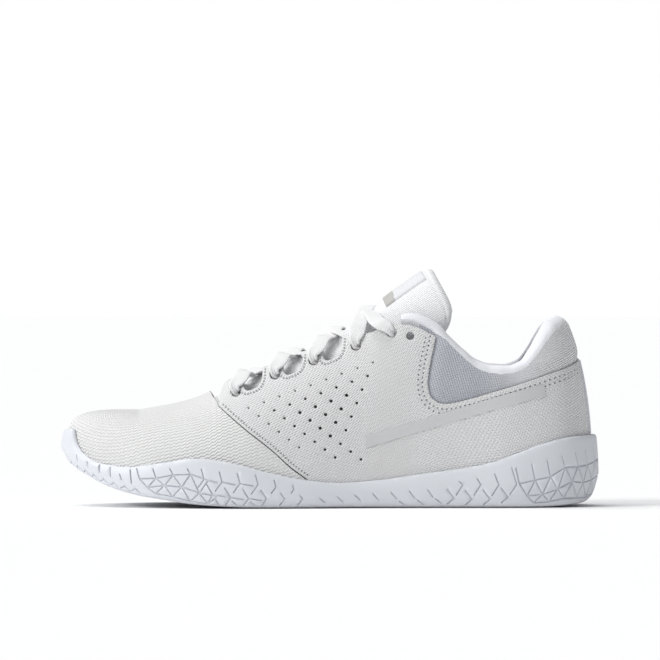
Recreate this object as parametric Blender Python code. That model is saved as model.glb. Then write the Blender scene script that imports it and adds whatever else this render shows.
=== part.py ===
"""A low-cut cheer shoe for the left foot, built from its separate pieces.

Metres, +Z up, toe towards -X, lateral side towards -Y. The origin lies on the ground under
the middle of the shoe. Sizes below are millimetres, and become metres where a mesh is made.

The upper's outer skin is one formula. A station s runs from the toe tip to the heel tip: it is
the x of an upright plane across the shoe, and past TOE_X and HEEL_X the planes fan round the
two ends. A rise runs from 0 at the sole to 1 at the crest. Each layer of the upper is a patch
of that skin, set in by its own depth.
"""

import math
from functools import lru_cache

import bmesh
import bpy
import numpy as np
from mathutils import Vector

MM = 0.001
LATERAL = -1
MEDIAL = 1
SIDES = {"lateral": LATERAL, "medial": MEDIAL}

# The fans at the ends: where they start and how many units of station turn 90 degrees.
TOE_X = -95.0
HEEL_X = 85.0
TOE_FAN = 40.0
HEEL_FAN = 45.0
TOE_TIP = TOE_X - TOE_FAN
HEEL_TIP = HEEL_X + HEEL_FAN

# Layers of the upper, as (outer, inner) depths below the skin.
OUTER = (0.0, 1.2)
STIFFENER = (2.0, 2.8)
LINING = (3.5, 4.3)
COLLAR_PADDING = (2.0, 5.6)
OVERLAY = (-0.8, -0.3)
SEAM_GAP = 0.4

RIM = 2.6
FEATHER = 3.4
STROBEL_INSET = 8.6
SOCKLINER_INSET = 10.6
STROBEL = (0.8, 1.8)
SOCKLINER = (2.5, 6.3)
SOCKLINER_SPLIT_X = -38.0

LACE_RADIUS = 1.0
UNDER_FLAP = 4.3
OVER_FLAP = -1.6
EYELET_RADIUS = 2.6
TONGUE_CLEARANCE = 6.6
AGLET_RADIUS = 1.6
AGLET_LENGTH = 18.0
AGLET_SIDES = 10
SOLE_CORE = 24.0
PIN_LENGTH = 9.0
COUNTER_LOW = 14.0
BACKSTAY = (37.5, 72.5)

TONGUE_FACE = (0.0, 1.2)
TONGUE_FOAM = (1.9, 4.8)
TONGUE_LINING = (5.2, 6.0)
TONGUE_LABEL = (-0.9, -0.3)
TONGUE_START = -56.0
TONGUE_HINGE = 25.5
TONGUE_TIP = 48.2
HINGE_WEDGE = 0.16
ARCH_POWER = 1.8

# The sole's outline in plan, from the toe tip along the lateral side and back.
PLAN = [
    (-134.4, 5.5), (-128, -10.5), (-112, -26.5), (-86, -41), (-50, -48), (-15, -45),
    (20, -38.5), (60, -36), (95, -35), (120, -27), (132.5, -11), (134.4, 0.5),
    (132.5, 12), (120, 27.5), (95, 35), (60, 33), (22, 31.5), (-15, 35),
    (-50, 45.2), (-74, 48.4), (-100, 43), (-120, 31), (-130.5, 19.5),
]

# (x, z) of the sole: ground side, the board it holds, and the top of its wall.
GROUND = [
    (-134.4, 27), (-130.7, 21.7), (-122, 16), (-108.5, 9.6), (-95.2, 6), (-81.7, 3.8),
    (-68.2, 1.8), (-55, 0.8), (-41, 0.2), (-25, 0), (102, 0), (118.8, 0.8), (126.5, 2),
    (130.5, 4.5), (134.4, 12),
]
BOARD = [
    (-134, 30), (-122, 24), (-108.5, 18), (-95, 14.2), (-68, 10.2), (-41, 9), (0, 9),
    (50, 10.5), (100, 12), (134, 13),
]
WALL_TOP = [
    (-134.4, 37.5), (-130.2, 38.5), (-128.7, 32.5), (-124.7, 26.5), (-114.7, 21.5),
    (-99.7, 20), (-84.7, 22), (-64.7, 24.5), (-49.7, 22.5), (-29.7, 17.5), (-9.7, 13.5),
    (5, 12.4), (24.7, 13.7), (44.5, 16.5), (64.2, 19.2), (79.2, 22), (94, 27),
    (108.7, 32), (123.7, 35), (134.4, 35.5),
]
WALL_BULGE = [(-134.4, 28), (-122, 22), (-100, 14), (-60, 10), (0, 6), (60, 8), (134.4, 17)]

# (s, value) of the upper: centre line, crest height and fullness of the cross-section.
CENTRE = [(-95, 5), (-60, 1), (-20, -1), (30, -1), (85, 0)]
CREST = [
    (-95, 47.8), (-88, 49), (-77.2, 51), (-68.2, 53.5), (-60, 57), (-56, 60.2), (-52.7, 63),
    (-46, 67), (-30, 74.5), (-8, 84), (0, 88), (18, 98), (31, 112), (45, 124), (60, 127),
    (85, 123), (130, 119),
]
FULLNESS = [
    (-135, 4), (-110, 3.2), (-90, 2.6), (-60, 2.2), (-46, 2), (0, 2.1), (18, 2.3), (45, 3),
    (85, 3), (110, 2.4), (130, 2.2),
]

# (s, z) of the edges between the upper's pieces.
TOE_SEAM = [(-56, 51), (-42, 39), (-28, 28), (-18, 19), (-11, 14)]
THROAT = [(-60, 0), (-59.3, 11), (-58, 20), (-55.5, 28)]
FLAP_TOP = [
    (-55.5, 52.5), (-54, 58), (-52.7, 61), (-43, 65.6), (-31.7, 69.5), (-11.2, 76.8),
    (8.2, 84.5), (16.6, 85.7), (23.5, 87.8), (33, 90.1), (37.7, 90.5), (45.2, 88.6), (49, 86.5),
]
PANEL_LOW = [(49.4, 57), (53, 51.9), (58, 51.3), (67, 53), (81, 57), (95, 61.5), (112, 68),
             (130, 73.7)]
COLLAR_TOP = [
    (35.5, 95), (37, 95.6), (41, 95.9), (48, 93.7), (55, 89.5), (60, 84), (67, 77.5),
    (74, 72), (81, 70), (88, 69.8), (95, 72), (102, 79.5), (108, 87), (114, 92), (130, 94.5),
]
ROLL_DEPTH = [(35.5, 3.4), (39, 4.4), (46, 5), (130, 5)]
ROLL_WIDTH = [(35.5, 0.5), (41, 0.6), (55, 0.85), (75, 1), (130, 1)]
ROLL_SECTION = [
    (0.3, 4.6), (-0.2, 2.6), (1.0, 0.6), (3.8, -0.4), (6.6, 0.8), (7.8, 3.2), (8.0, 8.0),
    (8.0, 24.0), (7.1, 24.0), (7.1, 8.0), (6.9, 5.2),
]
SCALLOPS = [(-38.4, 58.5), (-18.5, 66.3), (1.2, 73.5)]
SCALLOP_HALF = 5.0
EYELETS = [(-46.7, 57.5), (-27.2, 66), (-8, 73), (13, 80.3), (30.7, 86.8), (40, 85)]
LACED = 5
STRIPE = [(18, 32.5), (104, 58)]
STRIPE_HALF = 3.0

# The tongue: ridge height, half width, height of its arch, and lean of its cross-sections.
RIDGE = [(-58, 53.5), (-46, 59.5), (-30, 68), (0, 83.5), (18, 94.5), (25.5, 101.5),
         (41.2, 113), (48.2, 117.5)]
ARCH_WIDTH = [(-58, 21), (-20, 20), (0, 18.5), (31, 18), (48, 17.8)]
ARCH_HEIGHT = [(-58, 8), (-47, 12.5), (-30, 17), (0, 22), (31, 23), (48, 22)]
ARCH_LEAN = [(-58, 0), (0, 0.15), (25.5, 0.45), (48, 0.55)]

# The free end of the lace on the medial side, mirrored for the lateral side.
TAIL_ROUTE = [
    (32.6, 17.6, 81), (31.5, 18.8, 76), (27, 19.4, 68.5), (18.5, 19.6, 60), (8, 20.2, 50),
    (-4, 21.6, 40), (-16, 24, 31), (-28, 26.5, 24.2), (-42, 29.5, 20), (-56, 32, 18.2),
    (-70, 33, 18.8), (-84, 31.6, 20.8), (-93.5, 26.5, 22.6), (-97, 19, 23.4),
    (-93.5, 11.5, 22.6), (-85, 6.8, 21), (-72, 5.2, 18.7), (-58, 5, 18.4),
]

COLOURS = {
    "foam_white": ((0.86, 0.88, 0.9), 0.45),
    "knit_white": ((0.88, 0.88, 0.88), 0.75),
    "quarter_white": ((0.86, 0.86, 0.87), 0.7),
    "mesh_grey": ((0.74, 0.77, 0.81), 0.8),
    "lining_white": ((0.82, 0.83, 0.85), 0.9),
    "board_white": ((0.75, 0.75, 0.73), 0.9),
    "padding": ((0.8, 0.8, 0.78), 0.95),
    "lace_white": ((0.9, 0.9, 0.9), 0.85),
    "label_white": ((0.84, 0.85, 0.87), 0.6),
    "aglet_clear": ((0.85, 0.86, 0.87), 0.3),
    "stripe_grey": ((0.72, 0.73, 0.75), 0.5),
}


def smooth(knots):
    """A smooth curve through (x, value) knots that never overshoots them."""
    x, y = np.array(knots, float).T
    step = np.diff(x)
    slope = np.diff(y) / step
    tangent = np.concatenate([slope[:1], np.zeros(len(x) - 2), slope[-1:]])
    for k in range(1, len(x) - 1):
        if slope[k - 1] * slope[k] > 0:
            near, far = 2 * step[k] + step[k - 1], step[k] + 2 * step[k - 1]
            tangent[k] = (near + far) / (near / slope[k - 1] + far / slope[k])

    def value(at):
        at = min(max(at, x[0]), x[-1])
        k = min(int(np.searchsorted(x, at, side="right")) - 1, len(step) - 1)
        t = (at - x[k]) / step[k]
        bend = tangent[k] * t * (1 - t) ** 2 - tangent[k + 1] * t * t * (1 - t)
        return y[k] + (y[k + 1] - y[k]) * t * t * (3 - 2 * t) + step[k] * bend

    return value


def closed_spline(points, steps):
    """Points along a closed Catmull-Rom curve."""
    p = np.array(points, float)
    found = []
    for k in range(len(p)):
        a, b, c, d = (p[(k + j) % len(p)] for j in (-1, 0, 1, 2))
        for t in np.arange(steps) / steps:
            found.append(
                b + 0.5 * t * (c - a + t * (2 * a - 5 * b + 4 * c - d)
                               + t * t * (3 * (b - c) + d - a))
            )
    found = np.array(found)
    return found - (found.min(0) + found.max(0)) / 2


def open_spline(points, spacing):
    """Points about spacing apart on a smooth curve through the given ones, with square ends."""
    p = np.array(points, float)
    p = np.vstack([2 * p[0] - p[1], p, 2 * p[-1] - p[-2]])
    fine = []
    for a, b, c, d in zip(p, p[1:], p[2:], p[3:]):
        for t in np.arange(16) / 16:
            fine.append(
                b + 0.5 * t * (c - a + t * (2 * a - 5 * b + 4 * c - d)
                               + t * t * (3 * (b - c) + d - a))
            )
    fine = np.array(fine + [p[-2]])
    along = np.concatenate([[0], np.cumsum(np.linalg.norm(np.diff(fine, axis=0), axis=1))])
    count = max(3, round(along[-1] / spacing) + 1)
    ends = [0, 0.8], [along[-1] - 0.8, along[-1]]
    at = np.concatenate([ends[0], np.linspace(0, along[-1], count)[1:-1], ends[1]])
    return np.array([np.interp(at, along, fine[:, k]) for k in range(3)]).T


ground, board, wall_top, wall_bulge = (smooth(k) for k in (GROUND, BOARD, WALL_TOP, WALL_BULGE))
centre, crest, fullness = (smooth(k) for k in (CENTRE, CREST, FULLNESS))
toe_seam, throat, panel_low = (smooth(k) for k in (TOE_SEAM, THROAT, PANEL_LOW))
flap_line, collar_top = smooth(FLAP_TOP), smooth(COLLAR_TOP)
roll_depth, roll_width = smooth(ROLL_DEPTH), smooth(ROLL_WIDTH)
ridge, arch_width, arch_height, arch_lean = (
    smooth(k) for k in (RIDGE, ARCH_WIDTH, ARCH_HEIGHT, ARCH_LEAN)
)
OUTLINE = closed_spline(PLAN, 8)


@lru_cache(maxsize=None)
def station(s, side):
    """Centre point, outward direction and distance to the sole's outline, in plan."""
    turn = 0.0
    if s < TOE_X:
        turn = (s - TOE_X) / TOE_FAN * math.pi / 2
    elif s > HEEL_X:
        turn = (s - HEEL_X) / HEEL_FAN * math.pi / 2
    x = min(max(s, TOE_X), HEEL_X)
    middle = np.array([x, centre(x)])
    out = np.array([math.sin(turn), side * math.cos(turn)])
    start, edge = OUTLINE - middle, np.roll(OUTLINE, -1, 0) - OUTLINE
    cross = out[0] * edge[:, 1] - out[1] * edge[:, 0]
    cross = np.where(abs(cross) < 1e-9, 1e-9, cross)
    reach = (start[:, 0] * edge[:, 1] - start[:, 1] * edge[:, 0]) / cross
    where = (start[:, 0] * out[1] - start[:, 1] * out[0]) / cross
    return middle, out, float(reach[(where >= -1e-9) & (where <= 1 + 1e-9)].max())


def plan_point(s, side, inset):
    middle, out, reach = station(s, side)
    return middle + out * (reach - inset)


def foot_height(s, side):
    """Height of the upper's lower edge, just above the board of the sole."""
    return board(plan_point(s, side, FEATHER)[0]) + 0.5


def skin(s, side, rise):
    """A point on the upper's outer skin."""
    middle, out, own = station(s, side)
    shared = (own + station(s, -side)[2]) / 2
    power = fullness(s)
    angle = rise * math.pi / 2
    up = math.sin(angle) ** (2 / power)
    flat = max(math.cos(angle), 0) ** (2 / power)
    reach = (own + (shared - own) * up * up - FEATHER) * flat
    low = foot_height(s, side)
    x, y = middle + out * reach
    return np.array([x, y, low + (crest(s) - low) * up])


def rise_at(s, side, z):
    """The rise at which the skin is z high."""
    low = foot_height(s, side)
    up = min(max((z - low) / (crest(s) - low), 0), 1)
    return math.asin(up ** (fullness(s) / 2)) / (math.pi / 2)


def normal(s, side, rise):
    """The skin's outward direction."""
    rise = min(max(rise, 0.02), 0.97)
    along = skin(s + 0.5, side, rise) - skin(s - 0.5, side, rise)
    up = skin(s, side, rise + 0.02) - skin(s, side, rise - 0.02)
    n = np.cross(along, up) * -side
    return n / np.linalg.norm(n)


def below_skin(s, side, rise, depth):
    return skin(s, side, rise) - normal(s, side, rise) * depth


def spread(start, stop, step):
    """Stations from start to stop, about step apart."""
    return list(np.linspace(start, stop, max(2, round(abs(stop - start) / step) + 1)))


TOE_STATIONS = spread(TOE_TIP, TOE_X, 8)
HEEL_STATIONS = spread(HEEL_X, HEEL_TIP, 9)
COLLAR_STATIONS = [49.9, 53, 57, *spread(64, HEEL_X, 10), *HEEL_STATIONS[1:]]


def finish(obj, material):
    colour, roughness = COLOURS[material]
    found = bpy.data.materials.get(material)
    if found is None:
        found = bpy.data.materials.new(material)
        found.use_nodes = True
        shader = found.node_tree.nodes["Principled BSDF"]
        shader.inputs["Base Color"].default_value = (*colour, 1)
        shader.inputs["Roughness"].default_value = roughness
        shader.inputs["Metallic"].default_value = 0
    obj.data.materials.append(found)


def solid(name, material, points, faces, parent=None):
    """One closed body from points in millimetres."""
    mesh = bpy.data.meshes.new(name)
    origin = parent.location if parent else (0, 0, 0)
    mesh.from_pydata([np.array(p) * MM - np.array(origin) for p in points], [], faces)
    work = bmesh.new()
    work.from_mesh(mesh)
    bmesh.ops.recalc_face_normals(work, faces=work.faces)
    work.to_mesh(mesh)
    work.free()
    mesh.shade_smooth()
    mesh.set_sharp_from_angle(angle=math.radians(35))
    obj = bpy.data.objects.new(name, mesh)
    bpy.context.scene.collection.objects.link(obj)
    obj.parent = parent
    finish(obj, material)
    return obj


def shell(name, material, outer, inner, parent=None):
    """A closed sheet between two grids of points, whose coinciding points are joined."""
    keys, order, near, far = {}, [], [], []
    for outer_row, inner_row in zip(outer, inner):
        row = []
        for a, b in zip(outer_row, inner_row):
            key = tuple(np.round(a, 2))
            if key not in keys:
                keys[key] = len(near)
                near.append([])
                far.append([])
            near[keys[key]].append(a)
            far[keys[key]].append(b)
            row.append(keys[key])
        order.append(row)
    count = len(near)
    faces, borders = [], {}
    for row, after in zip(order, order[1:]):
        for k in range(len(row) - 1):
            face = list(dict.fromkeys([row[k], row[k + 1], after[k + 1], after[k]]))
            if len(face) > 2:
                faces.append(face)
                for edge in zip(face, face[1:] + face[:1]):
                    borders[frozenset(edge)] = None if frozenset(edge) in borders else edge
    sides = [(b, a, a + count, b + count) for a, b in filter(None, borders.values())]
    backs = [[v + count for v in reversed(face)] for face in faces]
    points = [np.mean(p, 0) for p in near + far]
    return solid(name, material, points, faces + sides + backs, parent)


def patch(name, material, columns, depths, parent=None):
    """A layer of the upper. columns hold (s, side, rise)."""
    outer, inner = (
        [[below_skin(*at, depth) for at in column] for column in columns] for depth in depths
    )
    return shell(name, material, outer, inner, parent)


def band(stations, side, low, high, rows):
    """Columns of a side piece between two edges, given as heights at a station."""
    columns = []
    for s in stations:
        a, b = rise_at(s, side, low(s)), rise_at(s, side, high(s))
        columns.append([(s, side, a + (b - a) * k / rows) for k in range(rows + 1)])
    return columns


def wrap(stations, low, high, rows):
    """Columns along the lateral side, round the heel or toe tip, and back on the medial side."""
    there = band(stations, LATERAL, low, high, rows)
    back = band(stations[-2::-1], MEDIAL, low, high, rows)
    return there + back


def slab(name, material, stations, inset, heights, parent=None):
    """A flat layer inside the sole's outline, heights above its board."""
    rows = []
    for s in stations:
        pair = [plan_point(s, LATERAL, inset), plan_point(s, MEDIAL, inset)]
        rows.append(pair[:1] if s in (TOE_TIP, HEEL_TIP) else pair)
    outer, inner = (
        [[(x, y, board(x) + height) for x, y in (row * 2)[:2]] for row in rows]
        for height in heights[::-1]
    )
    return shell(name, material, outer, inner, parent)


def sole_loop(inset, height):
    """A closed loop round the sole; height is worked out from each point's x."""
    stations = [*TOE_STATIONS, *spread(TOE_X, HEEL_X, 15)[1:], *HEEL_STATIONS[1:]]
    there = [plan_point(s, LATERAL, inset) for s in stations]
    back = [plan_point(s, MEDIAL, inset) for s in stations[-2:0:-1]]
    return [(x, y, height(x)) for x, y in there + back]


def make_sole():
    """A foam cup: curved tread, rounded wall, and a rim round the board recess."""
    loops = [
        sole_loop(SOLE_CORE, ground),
        sole_loop(10, ground),
        sole_loop(4.5, ground),
        sole_loop(1.4, lambda x: ground(x) + 1.2),
        sole_loop(0, lambda x: max(wall_bulge(x), ground(x) + 2)),
        sole_loop(1.4, wall_top),
        sole_loop(RIM, lambda x: wall_top(x) - 0.3),
        sole_loop(RIM, board),
        sole_loop(STROBEL_INSET, board),
        sole_loop(SOLE_CORE, board),
    ]
    around = len(loops[0])
    points = [p for loop in loops for p in loop]
    faces = []
    for level in range(len(loops) - 1):
        for k in range(around):
            after = (k + 1) % around
            a, b = level * around, (level + 1) * around
            faces.append((a + k, a + after, b + after, b + k))
    for base in (0, (len(loops) - 1) * around):
        for k in range(around // 2):
            across = [k, k + 1, (around - k - 1) % around, (around - k) % around]
            faces.append([base + v for v in dict.fromkeys(across)])
    solid("sole_unit", "foam_white", points, faces)


def make_insoles(lift):
    front = [*TOE_STATIONS, *spread(TOE_X, SOCKLINER_SPLIT_X, 15)[1:]]
    rear = [*spread(SOCKLINER_SPLIT_X + SEAM_GAP, HEEL_X, 20), *HEEL_STATIONS[1:]]
    slab("strobel_board", "board_white", front + rear, STROBEL_INSET, STROBEL)
    slab("sockliner_front", "lining_white", front, SOCKLINER_INSET, SOCKLINER)
    slab("sockliner_rear", "lining_white", rear, SOCKLINER_INSET, SOCKLINER, lift)


def toe_columns(stations, trim, rows):
    """Columns of a toe piece: open at the throat and down along the toe seam."""
    columns = []
    for side, order in ((LATERAL, stations[::-1]), (MEDIAL, stations[1:])):
        for s in order:
            if s <= THROAT[0][0]:
                top = 1.0
            elif s < THROAT[-1][0]:
                reach = throat(s) / (station(s, side)[2] - FEATHER)
                top = 1 - math.asin(reach ** (fullness(s) / 2)) / (math.pi / 2)
            else:
                top = rise_at(s, side, toe_seam(s) - trim)
            columns.append([(s, side, top * k / rows) for k in range(rows + 1)])
    return columns


def make_toe():
    """The knit vamp, the stiff toe cup behind it, and its lining."""
    stations = [*TOE_STATIONS, -86, -77, -68, -60, -59.3, -58, -55.5, *spread(-50, -12, 9.5)]
    patch("vamp", "knit_white", toe_columns(stations, SEAM_GAP, 5), OUTER)
    patch("vamp_lining", "lining_white", toe_columns(stations[:-1], 4, 5), LINING)
    cup = [
        [(s, side, 0.04 + 0.66 * k / 4) for k in range(5)]
        for side, order in ((LATERAL, TOE_STATIONS[::-1]), (MEDIAL, TOE_STATIONS[1:]))
        for s in order
    ]
    patch("toe_puff", "board_white", cup, STIFFENER)


def flap_top(s):
    """The lace edge of a quarter, with its scallops between the eyelets."""
    z = flap_line(s)
    for middle, bottom in SCALLOPS:
        across = abs(s - middle) / SCALLOP_HALF
        if across < 1:
            return z - (flap_line(middle) - bottom) * (1 - across**3) ** (1 / 3)
    return z


def eyelet_line(s):
    first, last = EYELETS[0], EYELETS[LACED - 1]
    return first[1] + (s - first[0]) * (last[1] - first[1]) / (last[0] - first[0])


def flap_stations():
    """Stations along the lace edge, close together at the scallops."""
    found = [-48, -28.5, -8.6, 12.5, 23, 33, 40, 47]
    for middle, _ in SCALLOPS:
        found += [middle + SCALLOP_HALF * t for t in (-1, -0.93, -0.6, 0.6, 0.93, 1)]
    return sorted(found)


def eyelet_cutter(side, at):
    """A pin square to the skin, for cutting an eyelet."""
    s, z = at
    rise = rise_at(s, side, z)
    work = bmesh.new()
    bmesh.ops.create_cone(
        work,
        cap_ends=True,
        segments=8,
        radius1=EYELET_RADIUS * MM,
        radius2=EYELET_RADIUS * MM,
        depth=PIN_LENGTH * MM,
    )
    mesh = bpy.data.meshes.new("eyelet_pin")
    work.to_mesh(mesh)
    work.free()
    pin = bpy.data.objects.new("eyelet_pin", mesh)
    bpy.context.scene.collection.objects.link(pin)
    pin.location = skin(s, side, rise) * MM
    pin.rotation_euler = Vector(normal(s, side, rise)).to_track_quat("Z", "Y").to_euler()
    pin.hide_render = True
    pin.display_type = "WIRE"
    return pin


def pierce(obj, pins):
    for pin in pins:
        cut = obj.modifiers.new("eyelet", "BOOLEAN")
        cut.operation = "DIFFERENCE"
        cut.solver = "EXACT"
        cut.object = pin


def make_quarter(word, side):
    """One side of the upper with its lace edge, the lace edge's backing, and its lining."""
    front = [-55.2, -54, -52.7, -11.2]
    rear = [49.4, *COLLAR_STATIONS[1:-1], HEEL_TIP - 0.3]

    def low(s):
        return toe_seam(s) + SEAM_GAP if s < TOE_SEAM[-1][0] else 0

    def high(s):
        return flap_top(s) if s < 49 else panel_low(s)

    pins = [eyelet_cutter(side, at) for at in EYELETS]
    stations = sorted([*front, *flap_stations(), 49, *rear])
    quarter = patch(f"quarter_{word}", "quarter_white", band(stations, side, low, high, 5), OUTER)
    backing = patch(
        f"eyestay_backing_{word}",
        "board_white",
        band(flap_stations(), side, lambda s: eyelet_line(s) - 9, lambda s: flap_top(s) - 1, 2),
        STIFFENER,
    )
    pierce(quarter, pins)
    pierce(backing, pins)
    lining_low = smooth([(-50, 50), (-42, 42), (-28, 31), (-18, 22), (-8, 14), (-2, 9)])
    patch(
        f"quarter_lining_{word}",
        "lining_white",
        band(
            [*spread(-44, 49, 9), *rear],
            side,
            lambda s: lining_low(s) if s < -2 else 0,
            lambda s: min(eyelet_line(s) - 10.5, 68) if s < 49.2 else panel_low(s) - 2,
            4,
        ),
        LINING,
    )


def make_heel():
    """The stiff counter inside the heel and the strip over its back seam."""
    stations = [HEEL_X - 10, *HEEL_STATIONS]
    counter = wrap(stations, lambda s: COUNTER_LOW, lambda s: panel_low(s) - 5, 4)
    patch("heel_counter", "board_white", counter, STIFFENER)
    across = [HEEL_TIP - 5, HEEL_TIP - 2.5, HEEL_TIP]
    strip = wrap(across, lambda s: BACKSTAY[0], lambda s: BACKSTAY[1], 5)
    patch("backstay", "mesh_grey", strip, OVERLAY)


def make_collar():
    """The mesh panel under the collar, its padding, and the rolled lining over both."""
    patch(
        "collar_panel",
        "mesh_grey",
        wrap(COLLAR_STATIONS, lambda s: panel_low(s) + 0.8, lambda s: roll_low(s) - 0.6, 4),
        OUTER,
    )
    patch(
        "collar_foam",
        "padding",
        wrap(COLLAR_STATIONS[1:], lambda s: panel_low(s) + 1.5, lambda s: roll_low(s) - 1.5, 3),
        COLLAR_PADDING,
    )
    path = [(s, LATERAL) for s in [35.5, 40, 45, *COLLAR_STATIONS]]
    path += [(s, MEDIAL) for s, _ in path[-2::-1]]
    rings = [[roll_point(s, side, *at) for at in ROLL_SECTION] for s, side in path]
    around = len(ROLL_SECTION)
    points = [p for ring in rings for p in ring]
    faces = [list(range(around)), [len(points) - 1 - k for k in range(around)]]
    for j in range(len(rings) - 1):
        for k in range(around):
            a, b = j * around, j * around + (k + 1) % around
            faces.append((a + k, b, b + around, a + k + around))
    solid("collar_lining", "lining_white", points, faces)


def roll_low(s):
    """The lower edge of the collar roll, as seen from outside."""
    return collar_top(s) - roll_depth(s)


def roll_point(s, side, inset, drop):
    """A point of the collar roll, inset from the skin and below the collar's top edge."""
    z = collar_top(s) - drop * roll_depth(s) / ROLL_DEPTH[-1][1]
    x, y, _ = skin(s, side, rise_at(s, side, z))
    out = station(s, side)[1]
    return np.array([x - out[0] * inset * roll_width(s), y - out[1] * inset * roll_width(s), z])


def tongue_point(t, across, lean):
    """A point on the tongue's face: t along the ridge, across from -1 to 1 over the arch."""
    angle = abs(across) * math.pi / 2
    y = arch_width(t) * math.sin(angle) ** (2 / ARCH_POWER)
    drop = arch_height(t) * (1 - max(math.cos(angle), 0) ** (2 / ARCH_POWER))
    x, y = t + drop * lean, math.copysign(y, across) + centre(t)
    if t > TONGUE_HINGE:
        return np.array([x, y, ridge(t) - drop])
    return np.array([x, y, min(ridge(t) - drop, under_flap(x, y))])


@lru_cache(maxsize=None)
def under_flap_line(x, side):
    """Cross-section of the space under a flap: half widths and heights, from the crest down."""
    found = [below_skin(x, side, r, TONGUE_CLEARANCE) for r in np.linspace(0.97, 0.3, 14)]
    return [abs(p[1] - centre(x)) for p in found], [p[2] for p in found]


def under_flap(x, y):
    """The height that keeps the tongue clear of the flaps and of the lace under them."""
    x = round(x, 1)
    away = abs(y - centre(x))
    side = LATERAL if y < centre(x) else MEDIAL
    open_middle = min(max((9.5 - away) / 6.5, 0), 1) * 5.5
    return float(np.interp(away, *under_flap_line(x, side))) + open_middle


def tongue_layer(name, material, stations, reach, depths, parent=None):
    """A layer of the tongue. Its first station past the hinge leans away from the hinge."""
    shares = np.linspace(-reach, reach, 11)

    def grid(depth):
        rows = []
        for t in stations:
            lean = arch_lean(t) + (HINGE_WEDGE if parent and t == stations[0] else 0)
            row = []
            for across in shares:
                p = tongue_point(t, across, lean)
                ahead = tongue_point(t + 0.5, across, arch_lean(t + 0.5))
                behind = tongue_point(t - 0.5, across, arch_lean(t - 0.5))
                over = tongue_point(t, across + 0.02, lean) - tongue_point(t, across - 0.02, lean)
                n = np.cross(ahead - behind, over)
                row.append(p - n / np.linalg.norm(n) * depth)
            rows.append(row)
        return rows

    return shell(name, material, grid(depths[0]), grid(depths[1]), parent)


def make_tongue(hinge):
    """The tongue: face, foam and lining, in two lengths that meet at the fold, and its label."""
    lower = spread(TONGUE_START, TONGUE_HINGE - SEAM_GAP, 10)
    upper = spread(TONGUE_HINGE + SEAM_GAP, TONGUE_TIP, 5.6)
    for word, stations, parent in (("lower", lower, None), ("upper", upper, hinge)):
        wide = 0.92 if parent else 0.8
        for layer, material, reach, depths in (
            ("face", "knit_white", wide, TONGUE_FACE),
            ("foam", "padding", wide - 0.03, TONGUE_FOAM),
            ("lining", "lining_white", wide - 0.03, TONGUE_LINING),
        ):
            tongue_layer(f"tongue_{layer}_{word}", material, stations, reach, depths, parent)
    tongue_layer("tongue_label", "label_white", spread(28, 46, 6), 0.4, TONGUE_LABEL, hinge)


def make_stripes():
    """A plain bar laid on each quarter."""
    line = smooth(STRIPE)
    for word, side in SIDES.items():
        columns = band(
            spread(STRIPE[0][0], STRIPE[-1][0], 8),
            side,
            lambda s: line(s) - STRIPE_HALF,
            lambda s: line(s) + STRIPE_HALF,
            2,
        )
        patch(f"side_stripe_{word}", "stripe_grey", columns, OVERLAY)


def cord(name, route, spacing):
    """A lace as a plain round cord."""
    curve = bpy.data.curves.new(name, "CURVE")
    curve.dimensions = "3D"
    curve.bevel_depth = LACE_RADIUS * MM
    curve.bevel_resolution = 2
    curve.use_fill_caps = True
    spline = curve.splines.new("POLY")
    points = open_spline(route, spacing)
    spline.points.add(len(points) - 1)
    for point, at in zip(spline.points, points):
        point.co = (*(at * MM), 1)
    obj = bpy.data.objects.new(name, curve)
    bpy.context.scene.collection.objects.link(obj)
    finish(obj, "lace_white")
    return points


def over_tongue(t, y, height):
    """A point above the tongue's face, y to one side of its ridge."""
    share = min(abs(y) / arch_width(t), 0.99) ** ARCH_POWER
    drop = arch_height(t) * (1 - (1 - share) ** (1 / ARCH_POWER))
    face = min(ridge(t) - drop, under_flap(t, y + centre(t)))
    return np.array([t, y + centre(t), face + height])


def strand(k, side, upper):
    """Route from eyelet k on one side, over the tongue, to the next eyelet on the other."""
    (s0, z0), (s1, z1) = EYELETS[k], EYELETS[k + 1]
    r0, r1 = rise_at(s0, side, z0), rise_at(s1, -side, z1)
    step = s1 - s0
    last = k + 2 == LACED
    lift = 4.8 if upper else 2.0
    flanks = (4.4, 4.4) if last and upper else (2 + lift / 3, 1.7 + lift / 5)
    route = [
        below_skin(s0 + 0.14 * step, side, r0 + 0.08, OVER_FLAP - 0.2),
        below_skin(s0 + 0.24 * step, side, r0 + 0.14, OVER_FLAP - 0.4),
        over_tongue(s0 + 0.37 * step, side * 6, flanks[0]),
        over_tongue(s0 + 0.5 * step, 0, lift),
        over_tongue(s0 + 0.63 * step, -side * 6, flanks[1]),
    ]
    if last:
        return route + [
            below_skin(s0 + 0.8 * step, -side, r1 + 0.12, OVER_FLAP - 0.5),
            below_skin(s0 + 0.93 * step, -side, r1 + 0.04, OVER_FLAP - 0.2),
            below_skin(s1, -side, r1, -0.4),
            below_skin(s1, -side, r1, 2.4),
            below_skin(s1, -side, r1, UNDER_FLAP + 0.3),
        ]
    return route + [
        below_skin(s0 + 0.78 * step, -side, r1 + 0.17, UNDER_FLAP - 0.6),
        below_skin(s0 + 0.88 * step, -side, r1 + 0.09, UNDER_FLAP + 0.2),
        *through_eyelet(k + 1, -side),
    ]


def through_eyelet(k, side):
    """Route up through an eyelet, from under the flap to over it."""
    s, z = EYELETS[k]
    rise = rise_at(s, side, z)
    return [
        below_skin(s, side, rise + 0.015, UNDER_FLAP + 0.3),
        below_skin(s, side, rise, 3.2),
        below_skin(s, side, rise, -0.3),
        below_skin(s, side, rise + 0.03, OVER_FLAP - 0.1),
    ]


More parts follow.
